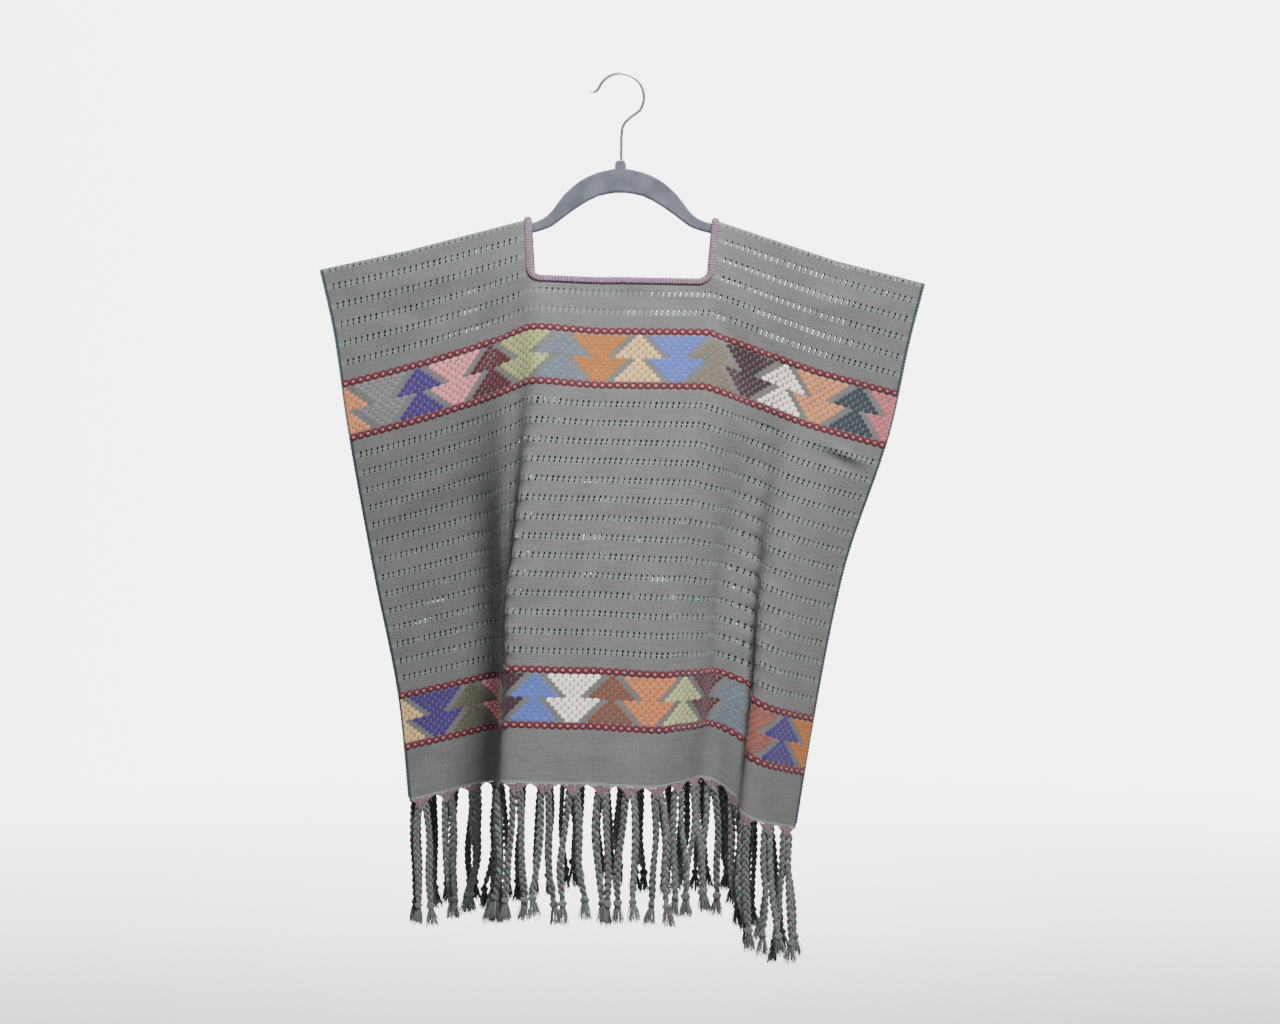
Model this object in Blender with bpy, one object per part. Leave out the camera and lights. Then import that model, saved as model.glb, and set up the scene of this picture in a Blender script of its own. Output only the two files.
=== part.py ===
"""A huipil on a hanger: one web of striped openwork cloth folded at the shoulders.

Metres, +Z up. The garment faces -Y and X runs to its right as it is seen.
The origin is the point under the top of the hanger's hook where a peg bears.
Across a web, u runs from the left side edge to the right one. Along it, v runs
from the shoulder fold down to the hem.
"""
import bmesh
import bpy
import numpy as np
from math import cos, pi, radians, sin
from mathutils import Vector

# Driving sizes of the cloth
HALF_WIDTH = 0.309
LENGTH = 0.584
CLOTH_THICK = 0.0012
SEAM_GAP = 0.0003
ARMHOLE_END = 0.178
ARMHOLE_GAP = 0.016
ARMHOLE_FADE = 0.110
NECK_LEFT = -0.100
NECK_RIGHT = 0.095
NECK_DEPTH = 0.073
NECK_CORNER = 0.017
FOLD_ROUND = 0.026

# Driving sizes of the neck binding and the fringe
BINDING_WIDE = 0.0070
BINDING_THICK = 0.0044
BINDING_RISE = 0.0020
BINDING_SIDES = 8
FRINGE_PAIRS = 20
FRINGE_STRIP = 0.0050
HEM_GAP = 0.0006
BRAID_WIDE = 0.0066
BRAID_DEEP = 0.0052
BRAID_APART = 0.0014
BRAID_LENGTH = 0.137
KNOT_WIDE = 0.0082
TUFT_WIDE = 0.0080
BRAID_SPREAD = 0.0008
BRAID_SWING = 0.0035
BRAID_SWAY = 0.0020
BRAID_UNEVEN = 0.035

# Driving sizes of the hanger and its hook
HANGER_THICK = 0.0055
HANGER_ROUND = 0.0020
ARM_REACHES = (0.114, 0.150, 0.186, 0.216)
ARM_END = 0.222
ARM_DEEP = 0.0105
ARM_TIP_DEEP = 0.0080
NUB_HALF = 0.0058
NUB_TOP = -0.0880
SLOPE_ALLOWANCE = 1.06
HOOK_WIRE = 0.0030
HOOK_RADIUS = 0.0242
HOOK_SIDES = 10
HOOK_STEM = ((0.0009, -0.0740), (0.0012, -0.0615))
HOOK_BEND = ((0.0030, -0.0520), (0.0100, -0.0440))
HOOK_BOW = (-34.0, 158.0)
HOOK_TIP = ((-0.0262, -0.0172), (-0.0305, -0.0160))

# Heights along the web, as v, at which the tables below give each fold
LEVELS = (0.0, 0.070, 0.150, 0.320, 0.490, 0.584)

# Across from the middle to the side edges at each level
LEFT_EDGE = (-0.3090, -0.2945, -0.2840, -0.2600, -0.2345, -0.2275)
RIGHT_EDGE = (0.3130, 0.2960, 0.2810, 0.2300, 0.1970, 0.1820)

# The shoulder fold: u, and its height above the origin
SHOULDER = (
    (-0.309, -0.2006),
    (-0.219, -0.1808),
    (-0.100, -0.1500),
    (0.000, -0.1475),
    (0.095, -0.1515),
    (0.219, -0.1920),
    (0.309, -0.2150),
)

# Front folds, left to right: u at the shoulder, u at the hem, how far each
# stands back at each level, and how far it is drawn up at each level
FRONT_FOLDS = {
    "left_edge": (-0.309, -0.309, (0.0, 0.003, 0.008, 0.038, 0.070, 0.082),
                  (0.0, 0.000, -0.001, 0.003, 0.009, 0.008)),
    "left_base": (-0.150, -0.211, (0.0, 0.000, 0.002, 0.040, 0.070, 0.080),
                  (0.0, 0.002, 0.005, 0.004, 0.009, 0.010)),
    "left_crest": (-0.090, -0.093, (0.0, -0.018, -0.030, -0.040, -0.046, -0.048),
                   (0.0, 0.002, 0.006, 0.003, 0.004, 0.004)),
    "centre": (-0.010, -0.010, (0.0, -0.008, -0.018, -0.036, -0.044, -0.046),
               (0.0, 0.000, 0.000, 0.000, 0.001, 0.001)),
    "box_corner": (0.105, 0.084, (0.0, -0.010, -0.020, -0.032, -0.038, -0.038),
                   (0.0, 0.002, 0.003, -0.001, -0.002, -0.002)),
    "right_valley": (0.150, 0.158, (0.0, 0.002, 0.009, 0.020, 0.027, 0.030),
                     (0.0, 0.003, 0.006, 0.012, 0.020, 0.022)),
    "right_rise": (0.190, 0.193, (0.0, 0.000, 0.004, 0.008, 0.008, 0.009),
                   (0.0, 0.002, 0.005, 0.011, 0.021, 0.022)),
    "right_crest": (0.225, 0.234, (0.0, -0.002, 0.000, -0.012, -0.024, -0.024),
                    (0.0, 0.001, 0.004, 0.004, 0.003, 0.002)),
    "right_edge": (0.309, 0.309, (0.0, 0.002, 0.006, 0.018, 0.022, 0.024),
                   (0.0, 0.000, 0.004, 0.003, 0.001, 0.000)),
}

# Back folds, in the same columns: its side edges are the front's
BACK_FOLDS = {
    "left_edge": FRONT_FOLDS["left_edge"],
    "left_ridge": (-0.245, -0.252, (0.0, 0.012, 0.026, 0.080, 0.120, 0.134),
                   (0.0, 0.000, 0.002, 0.004, 0.010, 0.010)),
    "left_valley": (-0.118, -0.104, (0.0, 0.004, 0.010, 0.032, 0.054, 0.060),
                    (0.0, 0.002, 0.005, 0.004, 0.006, 0.006)),
    "mid_ridge": (-0.030, -0.022, (0.0, 0.014, 0.038, 0.088, 0.120, 0.132),
                  (0.0, 0.000, 0.002, 0.003, 0.004, 0.004)),
    "mid_valley": (0.075, 0.070, (0.0, 0.008, 0.016, 0.036, 0.054, 0.060),
                   (0.0, 0.003, 0.006, 0.006, 0.006, 0.006)),
    "right_ridge": (0.180, 0.170, (0.0, 0.010, 0.032, 0.086, 0.122, 0.134),
                    (0.0, 0.002, 0.005, 0.008, 0.010, 0.010)),
    "right_edge": FRONT_FOLDS["right_edge"],
}

# The hanger's arch from its middle outwards: across, top height, lower height
ARCH = (
    (0.0058, -0.0965, -0.1216),
    (0.0230, -0.1003, -0.1250),
    (0.0410, -0.1085, -0.1345),
    (0.0580, -0.1230, -0.1465),
    (0.0700, -0.1390, -0.1555),
    (0.0800, -0.1480, -0.1598),
    (0.0940, -0.1530, -0.1635),
)

# Two places closer than this are the same one
NEAR = 1e-6

# Columns and rows of the cloth's mesh
COLUMNS_SHOULDER = 14
COLUMNS_NECK = 12
ROWS_NECK = (0.0, 0.0025, 0.0060, 0.018, 0.036, 0.056)
ROWS_BODY = 17
FINE_COLUMNS = 207
FINE_ROWS = 150

# Colours, linear RGB
CLOTH_GREY = (0.238, 0.242, 0.247)
BINDING_MAUVE = (0.270, 0.150, 0.175)
FRINGE_TEAL = (0.105, 0.150, 0.140)
FLOCK_GREY = (0.240, 0.245, 0.280)
CHROME = (0.780, 0.780, 0.790)


def make_material(name, colour, roughness, metallic=0.0):
    """A plain surface in one colour."""
    material = bpy.data.materials.new(name)
    material.use_nodes = True
    shader = material.node_tree.nodes["Principled BSDF"]
    shader.inputs["Base Color"].default_value = (*colour, 1.0)
    shader.inputs["Roughness"].default_value = roughness
    shader.inputs["Metallic"].default_value = metallic
    return material


def add_object(name, points, faces, material, smooth_angle=40.0):
    """One closed body from its points and faces."""
    mesh = bpy.data.meshes.new(name)
    mesh.from_pydata([tuple(p) for p in points], [], faces)
    mesh.update()
    mesh.materials.append(material)
    mesh.shade_smooth()
    mesh.set_sharp_from_angle(angle=radians(smooth_angle))
    part = bpy.data.objects.new(name, mesh)
    bpy.context.collection.objects.link(part)
    return part


def along_levels(values, v):
    """A smooth curve through the values that a table gives at LEVELS."""
    level = np.array(LEVELS)
    value = np.array(values, float)
    span = np.diff(level)
    slope = np.diff(value) / span
    tangent = np.zeros_like(value)
    tangent[0] = slope[0]
    tangent[-1] = slope[-1]
    for i in range(1, len(value) - 1):
        if slope[i - 1] * slope[i] > 0.0:
            before = 2.0 * span[i] + span[i - 1]
            after = span[i] + 2.0 * span[i - 1]
            tangent[i] = (before + after) / (before / slope[i - 1] + after / slope[i])
    v = np.clip(v, level[0], level[-1])
    i = np.clip(np.searchsorted(level, v, side="right") - 1, 0, len(span) - 1)
    t = (v - level[i]) / span[i]
    rise = (1.0 + 2.0 * t) * (1.0 - t) ** 2 * value[i]
    rise += t * (1.0 - t) ** 2 * span[i] * tangent[i]
    rise += t * t * (3.0 - 2.0 * t) * value[i + 1]
    rise += t * t * (t - 1.0) * span[i] * tangent[i + 1]
    return rise


def across_folds(fold_u, fold_value, u):
    """Straight flanks between folds, rounded over FOLD_ROUND at each fold."""
    first = fold_u[0]
    last = fold_u[-1]
    total = np.zeros_like(u)
    weight_sum = 0.0
    for step in np.linspace(-1.0, 1.0, 9):
        weight = cos(step * pi * 0.45)
        at = u + step * FOLD_ROUND
        mirrored = np.where(at < first, 2.0 * first - at, at)
        mirrored = np.where(at > last, 2.0 * last - at, mirrored)
        value = np.interp(mirrored, fold_u, fold_value)
        value = np.where(at < first, 2.0 * fold_value[0] - value, value)
        value = np.where(at > last, 2.0 * fold_value[-1] - value, value)
        total += weight * value
        weight_sum += weight
    return total / weight_sum


def fold_field(folds, column, us, vs):
    """One column of a fold table spread over the web."""
    field = np.zeros((len(vs), len(us)))
    for row, v in enumerate(vs):
        share = min(v / LENGTH, 1.0)
        fold_u = np.array([f[0] + (f[1] - f[0]) * share for f in folds.values()])
        fold_value = np.array([float(along_levels(f[column], v)) for f in folds.values()])
        field[row] = across_folds(fold_u, fold_value, us)
    return field


def web_points(side, us, vs):
    """Middle of the cloth at every u and v: side is -1 in front and 1 behind.

    The folds give how far each point stands back. The cloth keeps its length
    both ways, so that gives how far across it reaches and how far down.
    """
    folds = FRONT_FOLDS if side < 0 else BACK_FOLDS
    us = np.asarray(us, float)
    vs = np.asarray(vs, float)
    over_arm = HANGER_THICK / 2.0 + SEAM_GAP + CLOTH_THICK / 2.0
    bend = np.minimum(vs / over_arm, pi / 2.0)
    back = fold_field(folds, 2, us, vs)
    sewn = np.clip(vs / ARMHOLE_END, 0.0, 1.0)
    off_arm = 1.0 - sewn * sewn * (3.0 - 2.0 * sewn)
    back += side * (over_arm * np.sin(bend) * off_arm)[:, None]
    if side > 0:
        from_edge = np.minimum(us + HALF_WIDTH, HALF_WIDTH - us) / ARMHOLE_FADE
        fade = np.clip(1.0 - from_edge, 0.0, 1.0) ** 2
        gape = ARMHOLE_GAP * np.sin(pi * sewn)
        back += gape[:, None] * fade[None, :]
    half_gap = (CLOTH_THICK * np.sin(bend) + SEAM_GAP) / 2.0
    back += side * half_gap[:, None]
    lift = fold_field(folds, 3, us, vs)
    shoulder = np.interp(us, [s[0] for s in SHOULDER], [s[1] for s in SHOULDER])
    left = along_levels(LEFT_EDGE, vs)
    right = along_levels(RIGHT_EDGE, vs)
    du = np.diff(us)
    dv = np.diff(vs)[:, None]
    down = shoulder[None, :] - vs[:, None] + lift
    for _ in range(5):
        steep = (np.diff(back, axis=1) / du) ** 2 + (np.diff(down, axis=1) / du) ** 2
        reach = np.sqrt(np.clip(1.0 - steep, 0.004, 1.0)) * du
        reach = np.hstack([np.zeros((len(vs), 1)), np.cumsum(reach, axis=1)])
        across = left[:, None] + reach * ((right - left) / reach[:, -1])[:, None]
        lean = (np.diff(across, axis=0) / dv) ** 2 + (np.diff(back, axis=0) / dv) ** 2
        drop = np.sqrt(np.clip(1.0 - lean, 0.02, 1.0)) * dv
        drop = np.vstack([np.zeros((1, len(us))), np.cumsum(drop, axis=0)])
        down = shoulder[None, :] - drop + lift
    return np.stack([across, back, down], axis=2)


def web_normals(points):
    """Unit normals of a grid of points, out of the front or up at the shoulder."""
    normal = np.cross(np.gradient(points, axis=0), np.gradient(points, axis=1))
    normal[0, :, 1] = 0.0
    return normal / np.linalg.norm(normal, axis=2)[:, :, None]


class Web:
    """One half of the web, read anywhere from a fine grid of its points."""

    def __init__(self, side):
        near_fold = np.array([0.0, 0.0012, 0.0025, 0.0040, 0.0060, 0.0090, 0.0130])
        self.us = np.linspace(-HALF_WIDTH, HALF_WIDTH, FINE_COLUMNS)
        self.vs = np.concatenate([near_fold, np.linspace(0.018, LENGTH + FRINGE_STRIP, FINE_ROWS)])
        self.points = web_points(side, self.us, self.vs)
        self.normals = web_normals(self.points) * -side
        self.normals[0, :, 2] = abs(self.normals[0, :, 2])

    def read(self, grid, u, v):
        j = int(np.clip(np.searchsorted(self.us, u) - 1, 0, len(self.us) - 2))
        i = int(np.clip(np.searchsorted(self.vs, v) - 1, 0, len(self.vs) - 2))
        s = (u - self.us[j]) / (self.us[j + 1] - self.us[j])
        t = (v - self.vs[i]) / (self.vs[i + 1] - self.vs[i])
        upper = grid[i, j] * (1.0 - s) + grid[i, j + 1] * s
        lower = grid[i + 1, j] * (1.0 - s) + grid[i + 1, j + 1] * s
        return upper * (1.0 - t) + lower * t

    def point(self, u, v):
        return self.read(self.points, u, v)

    def normal(self, u, v):
        """Away from the inside of the garment."""
        facing = self.read(self.normals, u, v)
        return facing / np.linalg.norm(facing)


def neck_snap(u, v):
    """Round the two lower corners of the neck hole."""
    centre_v = NECK_DEPTH - NECK_CORNER
    for edge, inwards in ((NECK_LEFT, 1.0), (NECK_RIGHT, -1.0)):
        centre_u = edge + inwards * NECK_CORNER
        du = u - centre_u
        dv = v - centre_v
        if du * inwards < 0.0 and dv > 0.0:
            far = max((du * du + dv * dv) ** 0.5, NEAR)
            return centre_u + du * NECK_CORNER / far, centre_v + dv * NECK_CORNER / far
    return u, v


def web_columns():
    left = np.linspace(-HALF_WIDTH, NECK_LEFT, COLUMNS_SHOULDER)
    middle = np.linspace(NECK_LEFT, NECK_RIGHT, COLUMNS_NECK + 1)
    right = np.linspace(NECK_RIGHT, HALF_WIDTH, COLUMNS_SHOULDER)
    return np.concatenate([left, middle[1:], right[1:]])


def web_rows():
    body = np.linspace(NECK_DEPTH, LENGTH, ROWS_BODY)
    return np.concatenate([ROWS_NECK, body])


def on_neck_edge(u, v):
    within = NECK_LEFT - NEAR <= u <= NECK_RIGHT + NEAR and v <= NECK_DEPTH + NEAR
    at_side = min(abs(u - NECK_LEFT), abs(u - NECK_RIGHT)) < NEAR
    return within and (at_side or abs(v - NECK_DEPTH) < NEAR)


def build_panel(name, web, side, material):
    """A wall CLOTH_THICK deep over the web, open at the neck, with its rim."""
    us = web_columns()
    vs = web_rows()
    outer = []
    inner = []
    for v in vs:
        for u in us:
            at_u, at_v = neck_snap(u, v) if on_neck_edge(u, v) else (u, v)
            middle = web.point(at_u, at_v)
            half = web.normal(at_u, at_v) * (CLOTH_THICK / 2.0)
            outer.append(middle + half)
            inner.append(middle - half)
    count = len(us)
    skin = []
    for i in range(len(vs) - 1):
        for j in range(count - 1):
            mid_u = (us[j] + us[j + 1]) / 2.0
            mid_v = (vs[i] + vs[i + 1]) / 2.0
            if NECK_LEFT < mid_u < NECK_RIGHT and mid_v < NECK_DEPTH:
                continue
            a = i * count + j
            cell = [a, a + count, a + count + 1, a + 1]
            skin.append(cell if side < 0 else cell[::-1])
    return close_wall(name, outer, inner, skin, material)


def close_wall(name, outer, inner, skin, material):
    """Outer faces, the same inner faces turned over, and a rim between them."""
    shift = len(outer)
    faces = [list(f) for f in skin]
    faces += [[k + shift for k in reversed(f)] for f in skin]
    directed = {(f[k - 1], f[k]) for f in skin for k in range(len(f))}
    for a, b in sorted(directed):
        if (b, a) not in directed:
            faces.append([b, a, a + shift, b + shift])
    used = sorted({k for f in faces for k in f})
    renumber = {k: n for n, k in enumerate(used)}
    points = outer + inner
    faces = [[renumber[k] for k in f] for f in faces]
    return add_object(name, [points[k] for k in used], faces, material)


def binding_path(front, back):
    """Middle of the binding all round the hole, with the cloth's normals."""
    inset = BINDING_WIDE / 2.0 + SEAM_GAP
    middle = [u for u in web_columns() if NECK_LEFT < u < NECK_RIGHT]
    edge = [(NECK_LEFT, v) for v in ROWS_NECK[1:]] + [(NECK_LEFT, NECK_DEPTH)]
    edge += [(u, NECK_DEPTH) for u in middle]
    edge += [(NECK_RIGHT, NECK_DEPTH)] + [(NECK_RIGHT, v) for v in reversed(ROWS_NECK[1:])]
    path = []
    for web, pairs in ((front, edge), (back, edge[::-1])):
        for u, v in pairs:
            at_u, at_v = neck_snap(u, v)
            inwards = neck_inwards(u, v, at_u, at_v)
            u_in = at_u + inwards[0] * inset
            v_in = at_v + inwards[1] * inset
            path.append((web.point(u_in, v_in), web.normal(u_in, v_in), v_in))
        u_over = pairs[-1][0] + (inset if pairs[-1][0] < 0.0 else -inset)
        top = (front.point(u_over, 0.0) + back.point(u_over, 0.0)) / 2.0
        path.append((top, front.normal(u_over, 0.0), 0.0))
    return path


def neck_inwards(u, v, at_u, at_v):
    """Direction into the hole from a point of its edge."""
    if (at_u, at_v) != (u, v):
        side_u = NECK_LEFT + NECK_CORNER if u < 0.0 else NECK_RIGHT - NECK_CORNER
        to_u = side_u - at_u
        to_v = NECK_DEPTH - NECK_CORNER - at_v
        far = (to_u * to_u + to_v * to_v) ** 0.5
        return to_u / far, to_v / far
    if abs(v - NECK_DEPTH) < NEAR:
        return 0.0, -1.0
    return (1.0, 0.0) if u < 0.0 else (-1.0, 0.0)


def build_binding(front, back, material):
    """The folded mauve binding as one closed ring of oval section."""
    path = binding_path(front, back)
    rise_over = NECK_CORNER
    centres = []
    for point, _, v in path:
        lift = BINDING_RISE * max(0.0, 1.0 - v / rise_over)
        centres.append(Vector(point) + Vector((0.0, 0.0, lift)))
    points = []
    count = len(path)
    for k in range(count):
        ahead = (centres[(k + 1) % count] - centres[k - 1]).normalized()
        out = Vector(path[k][1])
        out = (out - ahead * out.dot(ahead)).normalized()
        beside = ahead.cross(out)
        for s in range(BINDING_SIDES):
            turn = 2.0 * pi * (s + 0.5) / BINDING_SIDES
            wide = beside * (cos(turn) * BINDING_WIDE / 2.0)
            thick = out * (sin(turn) * BINDING_THICK / 2.0)
            points.append(centres[k] + wide + thick)
    faces = ring_faces(count, BINDING_SIDES, True)
    return add_object("neck_binding", points, faces, material, 60.0)


def ring_faces(rings, sides, looped):
    """Quads between rings of points, with caps where the run isn't a loop."""
    faces = []
    for k in range(rings if looped else rings - 1):
        for s in range(sides):
            a = k * sides + s
            b = k * sides + (s + 1) % sides
            c = ((k + 1) % rings) * sides + (s + 1) % sides
            d = ((k + 1) % rings) * sides + s
            faces.append([a, b, c, d])
    if not looped:
        faces.append([s for s in reversed(range(sides))])
        faces.append([(rings - 1) * sides + s for s in range(sides)])
    return faces


def hem_point(web, u, below):
    """Where the cloth's hem passes at u, followed along its mesh, and its normal."""
    us = web_columns()
    j = int(np.clip(np.searchsorted(us, u) - 1, 0, len(us) - 2))
    s = (u - us[j]) / (us[j + 1] - us[j])
    point = web.point(us[j], LENGTH) * (1.0 - s) + web.point(us[j + 1], LENGTH) * s
    normal = web.normal(us[j], LENGTH) * (1.0 - s) + web.normal(us[j + 1], LENGTH) * s
    point[2] -= below
    return Vector(point), Vector(normal)


def strand_rings():
    """Down a braid: distance below the strip, half width, half depth."""
    return (
        (0.006, BRAID_WIDE / 2.0, BRAID_DEEP / 2.0),
        (0.060, BRAID_WIDE / 2.0, BRAID_DEEP / 2.0),
        (0.112, BRAID_WIDE * 0.45, BRAID_DEEP * 0.45),
        (0.118, KNOT_WIDE / 2.0, KNOT_WIDE / 2.0),
        (0.124, BRAID_WIDE * 0.42, BRAID_DEEP * 0.42),
        (BRAID_LENGTH, TUFT_WIDE / 2.0, BRAID_DEEP * 0.40),
    )


def build_fringe(name, web, side, material):
    """Braids in pairs, grown from a strip that runs along the hem."""
    pitch = 2.0 * HALF_WIDTH / FRINGE_PAIRS
    apart = (BRAID_WIDE + BRAID_APART) / 2.0
    roots = []
    for pair in range(FRINGE_PAIRS):
        middle = -HALF_WIDTH + pitch * (pair + 0.5)
        roots += [middle - apart, middle + apart]
    stops = [-HALF_WIDTH]
    for root in roots:
        stops += [root - BRAID_WIDE / 2.0, root + BRAID_WIDE / 2.0]
    stops.append(HALF_WIDTH)
    points = []
    for u in stops:
        for below in (HEM_GAP, HEM_GAP + FRINGE_STRIP):
            at, normal = hem_point(web, u, below)
            points.append(at + normal * (CLOTH_THICK / 2.0))
            points.append(at - normal * (CLOTH_THICK / 2.0))
    faces = []
    for k in range(len(stops) - 1):
        top_out, top_in, low_out, low_in = range(4 * k, 4 * k + 4)
        faces.append([top_out, low_out, low_out + 4, top_out + 4])
        faces.append([top_in, top_in + 4, low_in + 4, low_in])
        faces.append([top_out, top_out + 4, top_in + 4, top_in])
        root = [low_out, low_in, low_in + 4, low_out + 4]
        if k % 2 == 0:
            faces.append(root)
            continue
        grow_strand(points, faces, root, (k - 1) // 2)
    last = 4 * (len(stops) - 1)
    faces.append([0, 1, 3, 2])
    faces.append([last, last + 2, last + 3, last + 1])
    if side > 0:
        faces = [f[::-1] for f in faces]
    return add_object(name, points, faces, material, 50.0)


def grow_strand(points, faces, root, number):
    """One four-sided braid from its root in the strip down to its tuft."""
    corners = [points[k] for k in root]
    start = sum(corners, Vector()) / 4.0
    along = (corners[2] + corners[3] - corners[0] - corners[1]).normalized()
    out = (corners[0] + corners[3] - corners[1] - corners[2]).normalized()
    pair = number // 2
    spread = -BRAID_SPREAD if number % 2 == 0 else BRAID_SPREAD
    swing = Vector((BRAID_SWING * sin(1.9 * pair), BRAID_SWAY * cos(2.7 * pair), 0.0))
    lean = along * spread + swing
    stretch = 1.0 + BRAID_UNEVEN * sin(2.3 * pair + 0.8 * (number % 2))
    ring = root
    for below, half_wide, half_deep in strand_rings():
        share = below / BRAID_LENGTH
        at = start + lean * share - Vector((0.0, 0.0, below * stretch))
        base = len(points)
        points.append(at - along * half_wide + out * half_deep)
        points.append(at - along * half_wide - out * half_deep)
        points.append(at + along * half_wide - out * half_deep)
        points.append(at + along * half_wide + out * half_deep)
        new_ring = [base, base + 1, base + 2, base + 3]
        for s in range(4):
            t = (s + 1) % 4
            faces.append([ring[s], ring[t], new_ring[t], new_ring[s]])
        ring = new_ring
    faces.append(ring)


def arm_line(front, back, side):
    """The arm's top under the cloth: across and height, from the arch out."""
    clear = CLOTH_THICK / 2.0 + SEAM_GAP
    line = []
    for reach in ARM_REACHES:
        us = np.linspace(0.0, side * HALF_WIDTH, 200)
        row = np.array([front.point(u, 0.0) for u in us])
        nearest = int(np.argmin(abs(abs(row[:, 0]) - reach)))
        line.append((side * reach, row[nearest, 2] - clear * SLOPE_ALLOWANCE))
    return line


def hanger_half(front, back, side):
    """Top line from the nub to the tip, and the lower line back."""
    arms = arm_line(front, back, side)
    top = [(side * x, z) for x, z, _ in ARCH] + arms
    low = [(side * x, z) for x, _, z in ARCH]
    for k, (x, z) in enumerate(arms):
        share = k / (len(arms) - 1)
        low.append((x, z - ARM_DEEP - (ARM_TIP_DEEP - ARM_DEEP) * share))
    tip_z = (top[-1][1] + low[-1][1]) / 2.0
    tip = [(side * ARM_END, tip_z + ARM_TIP_DEEP / 5.0), (side * ARM_END, tip_z - ARM_TIP_DEEP / 3.0)]
    return curve_through(top), tip, curve_through(low)[::-1]


def curve_through(stops, pieces=2):
    """A Catmull-Rom curve through the points that are given."""
    stops = [Vector(p) for p in stops]
    line = []
    for k in range(len(stops) - 1):
        before = stops[max(k - 1, 0)]
        after = stops[min(k + 2, len(stops) - 1)]
        for step in range(pieces):
            t = step / pieces
            a = 2.0 * stops[k]
            b = (stops[k + 1] - before) * t
            c = (2.0 * before - 5.0 * stops[k] + 4.0 * stops[k + 1] - after) * t ** 2
            d = (3.0 * stops[k] - before - 3.0 * stops[k + 1] + after) * t ** 3
            line.append((a + b + c + d) / 2.0)
    return line + [stops[-1]]


def build_hanger(front, back, material):
    """The flocked hanger: one outline with its edges rounded over."""
    top_r, tip_r, low_r = hanger_half(front, back, 1.0)
    top_l, tip_l, low_l = hanger_half(front, back, -1.0)
    nub = [(-NUB_HALF, NUB_TOP - NUB_HALF * 0.6), (-NUB_HALF * 0.6, NUB_TOP)]
    nub += [(NUB_HALF * 0.6, NUB_TOP), (NUB_HALF, NUB_TOP - NUB_HALF * 0.6)]
    outline = nub + top_r + tip_r + low_r + low_l[::-1] + tip_l[::-1] + top_l[::-1]
    outline = [Vector((p[0], p[1])) for p in outline]
    count = len(outline)
    inward = []
    for k in range(count):
        ahead = (outline[(k + 1) % count] - outline[k]).normalized()
        behind = (outline[k] - outline[k - 1]).normalized()
        mitre = Vector((ahead.y + behind.y, -ahead.x - behind.x)).normalized()
        inward.append(mitre / max(0.6, mitre.dot(Vector((ahead.y, -ahead.x)))))
    half = HANGER_THICK / 2.0
    layers = []
    for turn in (90.0, 45.0, 0.0):
        inset = HANGER_ROUND * (1.0 - cos(radians(turn)))
        layers.append((-half + HANGER_ROUND * (1.0 - sin(radians(turn))), inset))
    layers += [(-y, inset) for y, inset in reversed(layers)]
    points = []
    for y, inset in layers:
        for at, way in zip(outline, inward):
            points.append((at.x + way.x * inset, y, at.y + way.y * inset))
    faces = ring_faces(len(layers), count, False)
    return add_object("hanger_body", points, faces, material, 50.0)


def hook_path():
    """Up the stem, round the S bend, over the top and out to the tip."""
    centre_z = HOOK_WIRE / 2.0 - HOOK_RADIUS
    stem = [(HOOK_STEM[0][0], NUB_TOP + SEAM_GAP), *HOOK_STEM, *HOOK_BEND]
    bow = []
    for turn in np.linspace(*HOOK_BOW, 17):
        x = HOOK_RADIUS * cos(radians(turn))
        bow.append((x, centre_z + HOOK_RADIUS * sin(radians(turn))))
    return [Vector((x, 0.0, z)) for x, z in curve_through([*stem, *bow, *HOOK_TIP], 2)]


def build_hook(material):
    """A bright wire of one thickness, cut square at the stem and the tip."""
    path = hook_path()
    points = []
    for k in range(len(path)):
        ahead = (path[min(k + 1, len(path) - 1)] - path[max(k - 1, 0)]).normalized()
        if k == 0:
            ahead = Vector((0.0, 0.0, 1.0))
        deep = Vector((0.0, 1.0, 0.0))
        beside = deep.cross(ahead)
        for s in range(HOOK_SIDES):
            turn = 2.0 * pi * s / HOOK_SIDES
            points.append(path[k] + (beside * cos(turn) + deep * sin(turn)) * (HOOK_WIRE / 2.0))
    return add_object("hook", points, ring_faces(len(path), HOOK_SIDES, False), material, 60.0)


def face_outwards(part):
    """Turn a closed body's faces out, whichever way its loops ran."""
    shape = bmesh.new()
    shape.from_mesh(part.data)
    if shape.calc_volume(signed=True) < 0.0:
        bmesh.ops.reverse_faces(shape, faces=shape.faces[:])
    shape.to_mesh(part.data)
    shape.free()


def main():
    for old in list(bpy.data.objects):
        bpy.data.objects.remove(old, do_unlink=True)
    cloth = make_material("grey_cotton", CLOTH_GREY, 0.92)
    mauve = make_material("mauve_binding", BINDING_MAUVE, 0.90)
    teal = make_material("teal_braids", FRINGE_TEAL, 0.90)
    flock = make_material("grey_flock", FLOCK_GREY, 0.95)
    chrome = make_material("bright_chrome", CHROME, 0.12, 1.0)
    front = Web(-1)
    back = Web(1)
    parts = [
        build_panel("front_panel", front, -1, cloth),
        build_panel("back_panel", back, 1, cloth),
        build_binding(front, back, mauve),
        build_fringe("front_fringe", front, -1, teal),
        build_fringe("back_fringe", back, 1, teal),
        build_hanger(front, back, flock),
        build_hook(chrome),
    ]
    for part in parts:
        face_outwards(part)


main()
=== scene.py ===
from math import cos, pi, radians, sin, sqrt

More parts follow.
